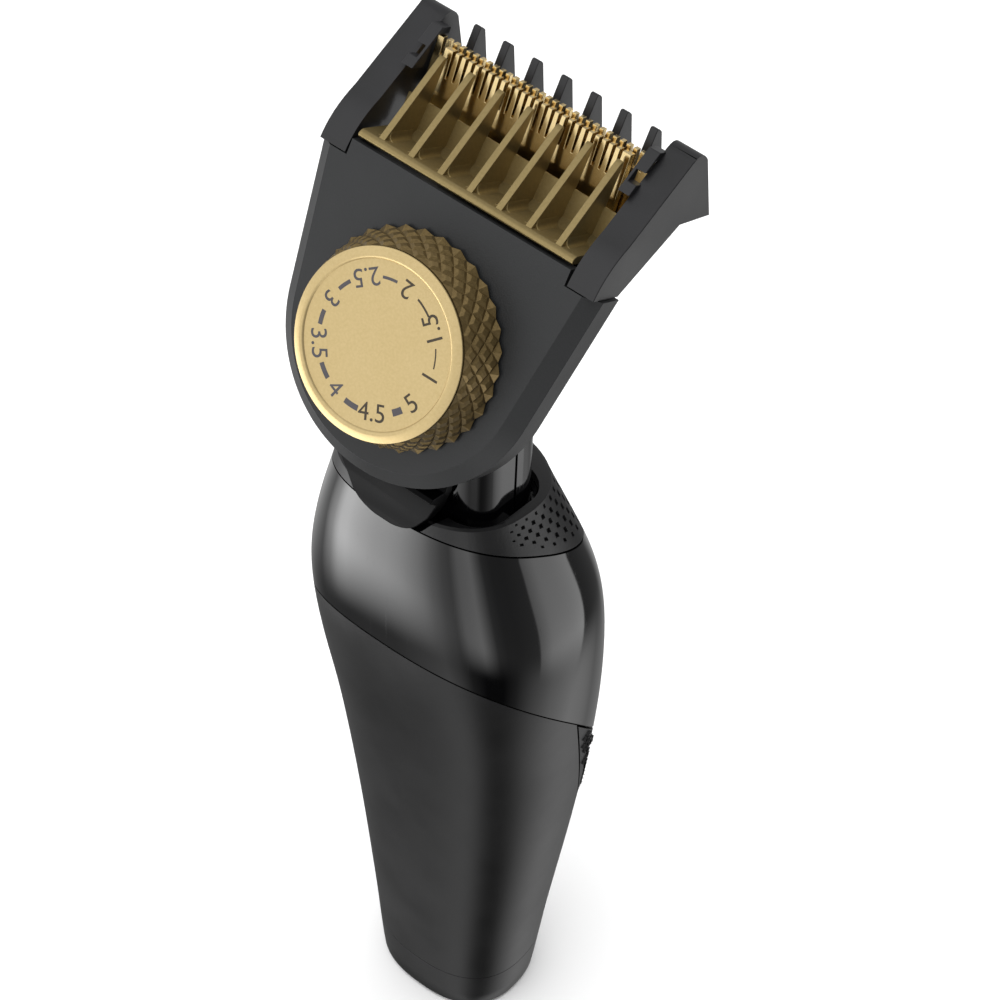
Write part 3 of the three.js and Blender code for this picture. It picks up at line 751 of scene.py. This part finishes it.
def shoulder_border(point):
    to_ring = point.z - curve_height(RING, point.y)
    to_top = curve_height(SHOULDER, point.y) - point.z
    behind_front = point.y + 10.4 if point.x > 0 else point.y + 8
    inside = math.hypot(point.x / 1.2, point.y + 6) - 8
    return min(to_ring * 0.95, to_top * 1.6, behind_front, inside * 9)


shoulder = wrap(SHOULDER_COLUMNS, RING_ROWS + 3, shoulder_skin)
dimple(shoulder, shoulder_border, SHOULDER_COLUMNS)
shoulder_grip = to_object(shoulder, "shoulder_grip_rubber", HANDLE)
solid_wall(shoulder_grip, RUBBER_WALL)
carve(shoulder_grip, (tongue_notch(), HEAD), solver="FAST")
finish(shoulder_grip, "handle", grip_rubber, ["shoulder_grip"], edge=0, angle=40)

# %% [markdown]
# ## Neck
# The neck is two polished halves that meet at a fine vertical joint on each side. Each
# half is a U-shaped wall, raised too tall and then cut off along a plane below the head.
# A slanted lid, made in the same way, closes it behind the head plate. A slot in the
# rear half lets the cutter's lever through.

# %% Neck halves
NECK_BOTTOM, NECK_TOO_TALL = 107.5, 160
NECK_SPLIT = -5.8
NECK_WALL, LID_INSET = 1.4, 0.7
# Places along the head's normal: where the wall ends, and the lid's two faces.
WALL_END, LID_TOP, LID_BOTTOM = -8.5, -8.7, -9.9
LEVER_SLOT = [(-6, 125), (8, 125), (8, NECK_TOO_TALL), (-6, NECK_TOO_TALL)]


def neck_path(front, inset=0.0, steps=64):
    """The half outline, from its right end round to its left end."""
    start = math.asin((NECK_SPLIT - NECK_Y) / 11)
    span = (start, -math.pi - start) if front else (start, math.pi - start)
    turns = [span[0] + (span[1] - span[0]) * i / steps for i in range(steps + 1)]
    points = [neck_outline(turn, inset) for turn in turns]
    limit = NECK_SPLIT + (-0.08 if front else 0.08)
    clip = min if front else max
    return [(point.x, clip(point.y, limit)) for point in points]


def cut_off(bm, depth, keep_below):
    """Cuts a body at a plane parallel to the head plate and closes the cut."""
    plane = DIAL_POINT - Vector((0, 0, LIFT)) + OUT_OF_PLATE * depth
    rim = bmesh.ops.bisect_plane(bm, geom=whole(bm), dist=0.001, plane_co=plane,
                                 plane_no=OUT_OF_PLATE, clear_outer=keep_below,
                                 clear_inner=not keep_below)
    bmesh.ops.edgeloop_fill(bm, edges=of_kind(rim["geom_cut"], bmesh.types.BMEdge))
    return bm


for name, node_name, front in (("neck_front_half", "neck_front", True),
                               ("neck_rear_half", "neck_rear", False)):
    outer, inner = neck_path(front), neck_path(front, NECK_WALL)
    wall = cut_off(raised(outer + inner[::-1], NECK_BOTTOM, NECK_TOO_TALL), WALL_END, True)
    lid = raised(neck_path(front, LID_INSET), NECK_BOTTOM, NECK_TOO_TALL)
    lid = cut_off(cut_off(lid, LID_TOP, True), LID_BOTTOM, False)
    for bm, suffix, nodes in ((wall, "", [node_name]), (lid, "_lid", [])):
        piece = to_object(tidy(bm), name + suffix, HANDLE)
        carve(piece, (sideways(LEVER_SLOT, -5, 5), HANDLE))
        finish(piece, "handle", gloss_black, nodes, edge=0.3, segments=3)

# %% [markdown]
# ## Base, button, socket and lamp
# The base cap is a flat foot with a sharp rim and a joint 0.12 mm wide above it. The power
# button is a domed oblong on the back, with a dished middle. Both are wrapped or raised
# from their outlines. The charging inlet is a shallow cup under the base.

# %% Base cap
BASE_LOOPS = ((-1.5, 3.2), (-1.5, 0.25), (-1.35, 0.05), (-0.6, 0.0), (2.0, 0.0), (5.0, 0.0),
              (7.08, 0.0), (7.08, 1.5))


def base_skin(column, row):
    z, inset = BASE_LOOPS[row]
    return skin(2 * math.pi * column / COLUMNS, z, inset)


base = wrap(COLUMNS, len(BASE_LOOPS) - 1, base_skin)
for level in (BASE_LOOPS[0][0], BASE_LOOPS[-1][0]):
    rim = [edge for edge in base.edges
           if edge.is_boundary and abs(edge.verts[0].co.z - level) < 0.01]
    bmesh.ops.edgeloop_fill(base, edges=rim)
base_cap = to_object(tidy(base), "base_cap_foot", HANDLE)
FOOT = board(Vector((0, 3.9, 0)), Vector((1, 0, 0)), Vector((0, 1, 0)), Vector((0, 0, 1)))
carve(base_cap, (raised(rounded_box(4.3, 3.4, 0.8), -3, 9.2), FOOT))
finish(base_cap, "handle", satin_black, ["base_cap"], edge=0.12)

charging_socket = to_object(raised(rounded_box(4, 3.1, 0.6), 0.4, 9), "charging_inlet_cup", FOOT)
carve(charging_socket, (raised(rounded_box(3.2, 2.3, 0.5), -1, 8), FOOT))
finish(charging_socket, "handle", black_nylon, ["charging_socket"], edge=0.15)

# %% Power button and lamp
BACK_SURFACE = skin(math.pi / 2, BUTTON_Z).y
press = crowned(raised(rounded_box(*BUTTON_HALF, BUTTON_CORNER), 10.8, BACK_SURFACE - 0.1),
                ((0.25, 0.12), (0.5, 0.06), (0.5, -0.12), (1.2, -0.22), (1.0, -0.06)))
power_button = to_object(gather(press, raised(arc(0, 0, 1.4, 0, 345, 23), 9.6, 11)),
                         "power_button_cap", BACK)
finish(power_button, "button", gloss_black, ["power_button"], edge=0.08)

lens_surface = skin(math.pi / 2, BUTTON_Z - LAMP_DROP).y
lens = crowned(raised(arc(0, -LAMP_DROP, LAMP_RADIUS, 0, 345, 23), 9.6, lens_surface - 0.25),
               ((0.15, 0.08), (0.25, 0.07), (0.3, 0.03)))
status_light = to_object(lens, "status_light_lens", BACK)
finish(status_light, "handle", lamp_lens, ["status_light"], edge=0, angle=50)

# %% [markdown]
# ## Head plate
# A flat plate with a round lower end, a broad chamfer along its edge and a low side wall.
# Its outline is raised, its front edge loop is drawn in for the chamfer, and it is hollow
# behind, like any moulding.

# %% Head plate
PLATE = {"top": 17.3, "shoulder": 15.3, "wide": 20.0, "waist": 17.4, "rim": -5.2, "chamfer": 1.7,
         "inner": 15.6, "chamfer_inset": 1.95}
# Degrees below level at which the round end leaves the straight sides.
ROUND_START = 8.7


def plate_outline(inset=0.0, steps=72):
    wide, waist = PLATE["wide"] - inset, PLATE["waist"] - inset
    inner = PLATE["inner"]
    points = [(-inner, PLATE["top"]), (-inner, PLATE["shoulder"]), (-wide, PLATE["shoulder"])]
    points += arc(0, 0, waist, 180 + ROUND_START, 360 - ROUND_START, steps)
    return points + [(wide, PLATE["shoulder"]), (inner, PLATE["shoulder"]), (inner, PLATE["top"])]


plate = raised(plate_outline(), PLATE["rim"], -PLATE["chamfer"])
plate_top = max(plate.faces, key=lambda face: face.calc_center_median().z)
lifted = bmesh.ops.extrude_discrete_faces(plate, faces=[plate_top])["faces"][0]
drawn_in = plate_outline(PLATE["chamfer_inset"])
targets = {tuple(round(c, 3) for c in a): b for a, b in zip(plate_outline(), drawn_in)}
for vert in lifted.verts:
    x, y = targets[(round(vert.co.x, 3), round(vert.co.y, 3))]
    vert.co = (x, y, 0)
bmesh.ops.bridge_loops(plate, edges=[edge for edge in plate.edges if edge.is_boundary])
comb_cover = to_object(tidy(plate), "head_plate", HEAD)
carve(comb_cover,
      (raised(arc(0, 0, 15.9, 0, 355, 71), -7, -1.7), HEAD),
      (raised([(-15.4, -1), (15.4, -1), (15.4, 25), (-15.4, 25)], -7, -1.72), HEAD),
      (raised(arc(0, 0, 5.3, 0, 350, 35), -9, 9), HEAD))
finish(comb_cover, "comb_attachment", cover_grey, ["comb_cover"], edge=0.18,
       segments=3)

# %% Comb base
base_outline = [(-15.2, 9)] + arc(0, 0, 15.0, 180, 360, 48) + [(15.2, 9)]
floor_plate = to_object(raised(base_outline, -7.9, -6.9), "comb_base_floor", HEAD)
comb_base_wall = to_object(raised(base_outline, -6.95, -5.5), "comb_base_wall", HEAD)
inner_outline = [(-13.6, 9.49)] + arc(0, 0, 13.4, 180, 360, 48) + [(13.6, 9.49)]
carve(comb_base_wall, (raised(inner_outline, -8, 0), HEAD))
finish(floor_plate, "comb_attachment", black_nylon, ["comb_base"], edge=0.15)
finish(comb_base_wall, "comb_attachment", black_nylon, edge=0.1)

# %% [markdown]
# ## Release tongue
# A springy lip below the plate unclips the comb. Seen from the front it narrows to a round
# end; seen from the side it slopes down and in. Its side outline is pulled across, and the
# front view's outline then trims it.

# %% Release tongue
TONGUE_SIDE = [(-14.2, -8.2), (-17.2, -8.2), (-17.9, -6.5), (-18.6, -6.5), (-19.2, -8.4),
               (-22.4, -10.5), (-25.2, -11.6), (-26.1, -12.1), (-26.1, -12.9), (-25.0, -13.1),
               (-18.5, -10.2), (-14.2, -9)]
tongue = to_object(sideways(TONGUE_SIDE, -8.3, 8.3), "release_tongue_lip", HEAD)
collar = [(9, -10), (9, -30), (0, -30), (0, -26.2)] + TONGUE_FRONT[-2::-1] + [(7.9, -10)]
carve(tongue, (raised(collar, -20, 0), HEAD),
      (raised([(-x, y) for x, y in collar[::-1]], -20, 0), HEAD))
# The tongue's material is darker than the other black plastics: painted shade.
finish(tongue, "tongue", tongue_painted_dark, ["release_tongue"], edge=0.25, segments=3)

# %% [markdown]
# ## Dial ring
# The ring is a cone with a diamond knurl: blunt pyramids between crossing grooves. A cone of
# quads is split along alternate diagonals, which draws the grooves. Every second corner is
# then lifted to make a pyramid, and a vertex bevel takes its tip off.

# %% Dial ring
KNURLS, BANDS = 32, 4
DIAL_BASE, DIAL_FACE, DIAL_TOP = 13.05, 11.2, 5.4
KNURL_HEIGHT, KNURL_START = 0.5, 0.4
LID_SEAT, SEAT_FLOOR, BORE = 10.5, 1.9, 5.4
ring = bmesh.new()
bmesh.ops.create_cone(ring, cap_ends=False, segments=KNURLS * 2, radius1=DIAL_BASE - KNURL_HEIGHT,
                      radius2=DIAL_FACE - KNURL_HEIGHT * 0.35, depth=DIAL_TOP - KNURL_START)
bmesh.ops.translate(ring, vec=(0, 0, (DIAL_TOP + KNURL_START) / 2), verts=ring.verts)
steep = [edge for edge in ring.edges if abs(edge.verts[0].co.z - edge.verts[1].co.z) > 1]
bmesh.ops.subdivide_edges(ring, edges=steep, cuts=BANDS, use_grid_fill=True)
BAND_HEIGHT = (DIAL_TOP - KNURL_START) / (BANDS + 1)


def knurl_index(vert):
    turn = round(math.atan2(vert.co.y, vert.co.x) / (math.pi / KNURLS))
    return turn + round((vert.co.z - KNURL_START) / BAND_HEIGHT)


for face in ring.faces[:]:
    grooves = [vert for vert in face.verts if knurl_index(vert) % 2]
    if len(grooves) == 2 and len(face.verts) == 4:
        bmesh.utils.face_split(face, grooves[0], grooves[1])
peaks = [vert for vert in ring.verts if knurl_index(vert) % 2 == 0 and vert.co.z < DIAL_TOP - 0.2]
for vert in peaks:
    outward = Vector((vert.co.x, vert.co.y, 0)).normalized() + Vector((0, 0, 0.33))
    vert.co += outward.normalized() * KNURL_HEIGHT * 1.15
inner_peaks = [vert for vert in peaks if not vert.is_boundary]
bmesh.ops.bevel(ring, geom=inner_peaks, offset=0.6, affect="VERTICES", segments=1, profile=0.5,
                material=-1, clamp_overlap=True)


def next_loop(bm, edges, radius, z):
    """Pulls a new loop of the ring to a radius and a height."""
    made = bmesh.ops.extrude_edge_only(bm, edges=edges)["geom"]
    for vert in of_kind(made, bmesh.types.BMVert):
        flat = Vector((vert.co.x, vert.co.y, 0)).normalized() * radius
        vert.co = (flat.x, flat.y, z)
    return of_kind(made, bmesh.types.BMEdge)


top_loop = [edge for edge in ring.edges if edge.is_boundary and edge.verts[0].co.z > 3]
low_loop = [edge for edge in ring.edges if edge.is_boundary and edge.verts[0].co.z < 3]
for radius, z in ((DIAL_FACE, DIAL_TOP), (LID_SEAT, DIAL_TOP), (LID_SEAT, SEAT_FLOOR),
                  (BORE, SEAT_FLOOR)):
    top_loop = next_loop(ring, top_loop, radius, z)
for radius, z in ((DIAL_BASE - KNURL_HEIGHT, 0.3), (BORE, 0.3), (BORE, SEAT_FLOOR)):
    low_loop = next_loop(ring, low_loop, radius, z)
dial_ring = to_object(tidy(ring), "dial_knurled_ring", HEAD)
finish(dial_ring, "dial", dial_bronze, ["dial_grip"], edge=0.05, angle=12)

# %% [markdown]
# ## Dial cap and its marks
# The cap is a gold disc with a bright raised rim. A profile is spun into the disc. The
# settings 1 to 5 are text turned to mesh, each with its feet to the rim. The bars between
# them get thicker, and mostly shorter, as the setting grows.

# %% Dial cap


def spun(profile_points, steps=128):
    bm = bmesh.new()
    verts = [bm.verts.new((r, 0, z)) for r, z in profile_points]
    edges = [bm.edges.new(pair) for pair in zip(verts, verts[1:])]
    bmesh.ops.spin(bm, geom=verts + edges, cent=(0, 0, 0), axis=(0, 0, 1), angle=2 * math.pi,
                   steps=steps, use_merge=True)
    return tidy(bm)


FACE_TOP = 5.95
CAP_PROFILE = [(0, 4.7), (10.2, 4.7), (10.2, 5.7), (11.05, 5.68), (11.14, 5.74), (11.1, 5.84),
               (10.3, 6.16), (10.0, 6.18), (9.85, 6.12), (9.72, FACE_TOP), (5, FACE_TOP),
               (0, FACE_TOP)]
dial_cap = to_object(spun(CAP_PROFILE), "dial_gold_cap", HEAD)
finish(dial_cap, "dial", dial_gold, ["dial_cap"], edge=0, angle=35)

# %% Dial marks
MARK_RADIUS, NUMERAL_SIZE, INK = 7.75, 3.05, 0.02
# The first numeral's angle and the turn from one to the next, in degrees.
FIRST, TURN = 0.3, 41.35


def ride_as_print(thing, material):
    finish(thing, "dial", material, edge=0, angle=30)


for i, words in enumerate(("1", "1.5", "2", "2.5", "3", "3.5", "4", "4.5", "5")):
    angle = FIRST + TURN * i
    curve = bpy.data.curves.new("numeral", "FONT")
    curve.body, curve.size, curve.align_x, curve.align_y = words, NUMERAL_SIZE, "CENTER", "CENTER"
    text = bpy.data.objects.new("numeral", curve)
    bpy.context.scene.collection.objects.link(text)
    bpy.context.view_layer.update()
    graph = bpy.context.evaluated_depsgraph_get()
    flat = bpy.data.meshes.new_from_object(text.evaluated_get(graph))
    bpy.data.objects.remove(text)
    bm = bmesh.new()
    bm.from_mesh(flat)
    bpy.data.meshes.remove(flat)
    bmesh.ops.remove_doubles(bm, verts=bm.verts, dist=0.0005)
    thicken(bm, bm.faces[:], INK)
    bmesh.ops.recalc_face_normals(bm, faces=bm.faces)
    turned = Matrix.Rotation(math.radians(angle), 4, "Z")
    spot = turned @ Matrix.Translation((MARK_RADIUS, 0, FACE_TOP))
    upright = Matrix.Rotation(math.radians(90), 4, "Z")
    numeral = to_object(bm, "dial_mark_" + words.replace(".", "_"), HEAD @ spot @ upright)
    # Numerals between 100 and 280 degrees get the grey ink with its painted sheen.
    ride_as_print(numeral, printed_ink if angle < 100 or angle > 280 else sheen_painted_ink)

# Each bar's angle in degrees, its length and its width.
BARS = ((17.5, 2.3, 0.16), (61.5, 2.3, 0.24), (101, 1.95, 0.34), (147.5, 1.8, 0.46),
        (184.5, 1.75, 0.56), (230.5, 1.9, 0.6), (268.5, 1.9, 0.68), (315, 1.3, 0.82))
for i, (angle, length, width) in enumerate(BARS):
    bm = bmesh.new()
    sweep = length / MARK_RADIUS
    verts = [bm.verts.new((MARK_RADIUS + side * width / 2, 0, FACE_TOP + z))
             for side, z in ((-1, 0), (1, 0), (1, INK), (-1, INK))]
    start_face = bm.faces.new(verts)
    bmesh.ops.rotate(bm, matrix=Matrix.Rotation(math.radians(angle) - sweep / 2, 3, "Z"),
                     verts=bm.verts)
    bmesh.ops.spin(bm, geom=[start_face], cent=(0, 0, 0), axis=(0, 0, 1), angle=sweep, steps=8)
    bmesh.ops.recalc_face_normals(bm, faces=bm.faces)
    # Bars past 100 degrees get the grey ink with its painted sheen.
    ride_as_print(to_object(bm, f"dial_bar_{i + 1}", HEAD),
                  printed_ink if angle < 100 else sheen_painted_ink)

# %% [markdown]
# ## Rib comb
# Seven thin ribs hold the hair up in front of the blade. They stand on one bar, whose front
# carries a round bead and a groove. Each side outline is pulled to its width, and small
# webs soften the corners where the ribs meet the bar. A thin floor closes the pockets
# between the ribs from behind, so that nothing bright shows through them.

# %% Rib comb
PITCH, RIBS, RIB_HALF = 4.2, 7, 0.42
rib_places = [(i - (RIBS - 1) / 2) * PITCH for i in range(RIBS)]
bar_side = [(17.65, -1.3)] + bend((17.65, -0.75), (17.7, -0.3), (18.1, -0.28), 4)
bar_side += bend((18.1, -0.28), (18.5, -0.35), (18.7, -0.95), 4) + [(18.7, -6.6), (17.9, -6.6)]
floor_side = [(18.5, -5.6), (19.6, -7.2), (23.0, -7.4), (23.0, -7.7), (18.5, -7.7)]
rib_bodies = [sideways(bar_side, -15.3, 15.3), sideways(floor_side, -15.1, 15.1)]
rib_side = [(18.1, -0.55), (28.2, -6.95)]
rib_side += bend((28.2, -6.95), (28.9, -7.5), (28.4, -7.7), 4) + [(18.1, -7.7)]
for x in rib_places:
    rib_bodies.append(sideways(rib_side, x - RIB_HALF, x + RIB_HALF))
    for side in (-1, 1):
        web = [(x + side * 0.3, 19.9), (x + side * 0.44, 19.7)]
        web += bend((x + side * 0.44, 19.7), (x + side * 0.46, 18.75), (x + side * 1.1, 18.72), 5)
        web += [(x + side * 1.1, 18.4), (x + side * 0.3, 18.4)]
        rib_bodies.append(raised(web, -6.4, -1.75))
rib_comb = to_object(gather(*rib_bodies), "rib_comb_moulding", HEAD)
finish(rib_comb, "comb", rib_bronze, ["rib_comb"], edge=0.13, segments=3)

# %% [markdown]
# ## Comb frame
# The frame has two arms beside the plate, a bar behind the blade and seven thin teeth that
# slide along the skin. Each is a side outline pulled to its width. The inner guards beside
# the blade have small windows.

# %% Comb frame
ARM_IN, ARM_OUT, ARM_CHAMFER, TOOTH_HALF = 15.9, 19.6, 1.7, 0.5
GUARD_IN, GUARD_OUT = 14.6, 16.2
arm_side = [(15.45, -5.4), (15.45, 0)] + bend((15.45, 0), (19, -0.2), (22, -3.2), 10)
arm_side += [(31.6, -10.2)] + bend((31.6, -10.2), (33.2, -11.4), (31.8, -13.4), 6)
arm_side += [(24.2, -20), (23.6, -13.4)]
tooth_side = [(23, -12.6), (31.9, -12.4)]
tooth_side += bend((31.9, -12.4), (32.5, -12.4), (31.9, -13.6), 5) + [(23, -20.4)]
guard_side = [(26.2, -5.2), (31.2, -8.6), (31.2, -10.4), (30.3, -10.4), (30.2, -8.3), (29, -7.6),
              (26.2, -7.6)]
rear_bar_side = [(24.6, -20.2), (24.6, -13), (22.4, -13), (22.4, -20.2)]
frame_bodies = [sideways(rear_bar_side, -ARM_IN - 1, ARM_IN + 1)]
frame_bodies += [sideways(tooth_side, x - TOOTH_HALF, x + TOOTH_HALF) for x in rib_places]
teeth_and_bar = to_object(gather(*frame_bodies), "comb_teeth_moulding", HEAD)
finish(teeth_and_bar, "comb", black_nylon, ["comb_frame"], edge=0.24, segments=3)


def on_crest(point):
    """Whether a corner lies on the arm's outer edge, between the plate and the tip."""
    on_side = abs(point.x) > ARM_OUT - 0.01
    return on_side and point.y < 31.7 and point.z > -10.3 and (point.y > 15.5 or point.z > -0.1)


for side, name in ((-1, "left"), (1, "right")):
    outer = sideways(arm_side, *sorted((side * ARM_IN, side * ARM_OUT)))
    crest = [edge for edge in outer.edges if all(on_crest(vert.co) for vert in edge.verts)]
    bmesh.ops.bevel(outer, geom=crest, offset=ARM_CHAMFER, affect="EDGES", segments=1,
                    profile=0.5, material=-1, clamp_overlap=True)
    arm = to_object(outer, f"comb_arm_{name}", HEAD)
    finish(arm, "comb", black_nylon, edge=0.16, segments=2)
    guard = to_object(sideways(guard_side, *sorted((side * GUARD_IN, side * GUARD_OUT))),
                      f"comb_guard_{name}", HEAD)
    corners = ((15.0, 27.4), (17.0, 27.4), (17.0, 28.8), (15.0, 28.8))
    window = raised([(side * x, y) for x, y in corners], -12, 0)
    carve(guard, (tidy(window), HEAD))
    finish(guard, "comb", black_nylon, edge=0.1)

# %% [markdown]
# ## Blades
# The two blades are stamped steel plates with ground teeth. A strip of quads has one column
# for each tooth and slot; the tooth columns' front edges are extruded and narrowed, and the
# whole is given its thickness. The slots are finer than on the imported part, for the look.

# %% Blades
BLADE_PITCH = 0.95
BLADE_FACES, CUTTER_FACES = (-2.1, -1.3), (-1, 0)
SCREW_PLACE, SCREW_HOLE = (6.6, -11.1), 1.2


def toothed(half, root, tip, slot, low, high, root_gap=0.11, tip_gap=0.19):
    """A blade plate with tapered teeth along its front edge."""
    count = int((half * 2 - 1) / BLADE_PITCH)
    slots = [(i - (count - 1) / 2) * BLADE_PITCH for i in range(count)]
    marks = [-half] + [x + side * root_gap for x in slots for side in (-1, 1)] + [half]
    strips = len(marks) - 1
    bm = bmesh.new()
    bmesh.ops.create_grid(bm, x_segments=strips, y_segments=1, size=0.5)
    for vert in bm.verts:
        y = tip - slot if vert.co.y > 0 else root
        vert.co = (marks[round((vert.co.x + 0.5) * strips)], y, low)
    front = [edge for edge in bm.edges if all(vert.co.y > tip - slot - 0.01 for vert in edge.verts)]
    front.sort(key=lambda edge: sum(vert.co.x for vert in edge.verts))
    made = bmesh.ops.extrude_edge_only(bm, edges=front[::2])["geom"]
    for vert in of_kind(made, bmesh.types.BMVert):
        slot_x = min(slots, key=lambda x: abs(x - vert.co.x))
        if abs(vert.co.x) < half - 0.01:
            vert.co.x = slot_x + math.copysign(tip_gap, vert.co.x - slot_x)
        vert.co.y = tip
    thicken(bm, bm.faces[:], high - low)
    return tidy(bm)


blade_tail = raised([(-9, -12.5), (9, -12.5), (9, -8.8), (-9, -8.8)], *BLADE_FACES)
blade = gather(toothed(15.3, -9, 0, 2.2, *BLADE_FACES), blade_tail)
fixed_blade = to_object(blade, "fixed_blade_plate", BLADE)
for x in (-SCREW_PLACE[0], SCREW_PLACE[0]):
    carve(fixed_blade, (raised(arc(x, SCREW_PLACE[1], SCREW_HOLE, 0, 345, 23), -3, 0), BLADE))
finish(fixed_blade, "handle", blade_gold, ["fixed_blade"], edge=0.07)

# The cutter's fork takes the end of the lever.
fork = raised([(-4, -17), (-1.95, -17), (-1.95, -13.2), (1.95, -13.2),
               (1.95, -17), (4, -17), (4, -8.5), (-4, -8.5)], *CUTTER_FACES)
cutter = to_object(gather(toothed(13.2, -8.6, -0.4, 3.4, *CUTTER_FACES), fork), "cutter_plate",
                   BLADE)
finish(cutter, "cutter", blade_gold, ["cutter"], edge=0.07)

# %% [markdown]
# ## Light
# The set is a white table under soft light. A world painted by direction stands in for the
# big softboxes, the dark gaps between them and the camera side of the studio, which is what
# polished black shows. The bands' edges are given as compass angles, and were chosen by
# trial until the polished shell looked right, so this is a likeness of a studio. The table
# is hidden from reflections and from diffuse bounces, and the lamp from reflections, so
# the shell sees the painted studio alone. No real table or lamp could do that.

# %% World
world = bpy.data.worlds.new("studio")
world.use_nodes = True
sky = world.node_tree
sky.nodes.clear()
direction = node(sky, "ShaderNodeTexCoord").outputs["Generated"]
axes = node(sky, "ShaderNodeSeparateXYZ", {"Vector": direction}).outputs
behind = node(sky, "ShaderNodeMath", {0: axes["Y"], 1: -1.0}, operation="MULTIPLY").outputs[0]
compass = node(sky, "ShaderNodeMath", {0: axes["X"], 1: behind}, operation="ARCTAN2").outputs[0]
compass_share = node(sky, "ShaderNodeMapRange",
                     {"Value": compass, "From Min": -math.pi, "From Max": math.pi,
             "To Min": 0.0, "To Max": 1.0}).outputs["Result"]
BRIGHTEST = 4.5
# Softboxes: how bright each compass angle is when looked at 20 to 43 degrees below level.
SOFTBOXES = ((-180, 0.12), (-160, 0.5), (-120, 0.8), (-88, 0.4), (-74, 1.6), (-64, 3.6),
             (-56, 4.2), (-40, 4.0), (-22, 3.3), (-6, 2.3), (3, 1.5), (14, 0.9), (23, 0.7),
             (32, 1.5), (47, 1.9), (55, 1.0), (62, 0.35), (72, 0.22), (86, 0.2), (107.4, 0.25),
             (108, 1.0), (120, 1.55), (145.4, 1.5), (146, 0.12), (170, 0.12))
# The studio's dark floor, from 55 degrees below level down.
FOOTLIGHTS = ((-180, 0.3), (-90, 0.1), (-60, 0.14), (-35, 0.22), (-10, 0.45), (5, 0.6), (18, 0.4),
              (30, 0.12), (45, 0.02), (65, 0.02), (80, 0.12), (100, 0.4), (125, 0.65), (150, 0.7),
              (170, 0.3))
# Level and above: a large key light at the front left, and dark flags on the right.
KEY = ((-180, 0.55), (-125, 0.5), (-95, 0.8), (-60, 1.15), (15, 1.15), (40, 0.55), (65, 0.2),
       (125, 0.2), (155, 0.5), (179.9, 0.55))
# Heights of the direction, as the Z of a unit vector, over which the bands change.
FOOT_FADE, KEY_FADE = (-0.82, -0.68), (-0.35, -0.12)


def painted(tree, value, stops, brightest):
    ramp = node(tree, "ShaderNodeValToRGB", {"Fac": value})
    elements = ramp.color_ramp.elements
    for i, (place, light) in enumerate(stops):
        element = elements[i] if i < 2 else elements.new(place)
        element.position = place
        element.color = (light / brightest,) * 3 + (1,)
    return ramp.outputs["Color"]


def band(stops):
    stops = [((angle + 180) / 360, light) for angle, light in stops]
    colour = painted(sky, compass_share, stops, BRIGHTEST)
    return node(sky, "ShaderNodeVectorMath", {0: colour, "Scale": BRIGHTEST},
                operation="SCALE").outputs["Vector"]


def fade(low, high):
    """Zero below one height of the direction and one above the other."""
    made = node(sky, "ShaderNodeMapRange", {"Value": axes["Z"], "From Min": low, "From Max": high,
                "To Min": 0.0, "To Max": 1.0}, interpolation_type="SMOOTHSTEP")
    return made.outputs["Result"]


lower = node(sky, "ShaderNodeMix", {0: fade(*FOOT_FADE), 6: band(FOOTLIGHTS), 7: band(SOFTBOXES)},
             data_type="RGBA")
mixed = node(sky, "ShaderNodeMix", {0: fade(*KEY_FADE), 6: lower.outputs[2], 7: band(KEY)},
             data_type="RGBA")
backdrop = node(sky, "ShaderNodeBackground", {"Color": mixed.outputs[2], "Strength": 1.0})
node(sky, "ShaderNodeOutputWorld", {"Surface": backdrop.outputs[0]})
bpy.context.scene.world = world
print("world painted in", len(SOFTBOXES) + len(FOOTLIGHTS) + len(KEY), "stops")

# %% Table and lamp
TABLE_SIZE, FIBRE_MM, FIBRE_DEPTH = 4000, 1.5, 0.004
LAMP_SIZE_M, LAMP_WATTS, LAMP_HEIGHT_M = 1.5, 22.0, 1.4
table_sheet = bmesh.new()
bmesh.ops.create_grid(table_sheet, x_segments=1, y_segments=1, size=TABLE_SIZE)
table = to_object(table_sheet, "table", Matrix.Identity(4))
paper, paper_tree = blank("white_paper")
paper_place = node(paper_tree, "ShaderNodeTexCoord").outputs["Object"]
fibre = node(paper_tree, "ShaderNodeTexNoise",
             {"Vector": paper_place, "Scale": 1 / (FIBRE_MM * MM), "Detail": 2})
paper_bump = node(paper_tree, "ShaderNodeBump",
                  {"Height": fibre.outputs["Fac"], "Distance": FIBRE_DEPTH * MM})
paper_shader = node(paper_tree, "ShaderNodeBsdfPrincipled",
                    {"Base Color": srgb("#f6f6f6"), "Roughness": 0.9,
                    "Normal": paper_bump.outputs["Normal"]})
node(paper_tree, "ShaderNodeOutputMaterial", {"Surface": paper_shader.outputs[0]})
table.data.materials.append(paper)
table.visible_glossy = False
table.visible_diffuse = False

lamp_data = bpy.data.lights.new("overhead_softbox", "AREA")
lamp_data.shape, lamp_data.size, lamp_data.energy = "DISK", LAMP_SIZE_M, LAMP_WATTS
lamp = bpy.data.objects.new("overhead_softbox", lamp_data)
bpy.context.scene.collection.objects.link(lamp)
lamp.matrix_world = Matrix.Translation((0, 0, LAMP_HEIGHT_M))
lamp.visible_glossy = False
print("table and lamp set")
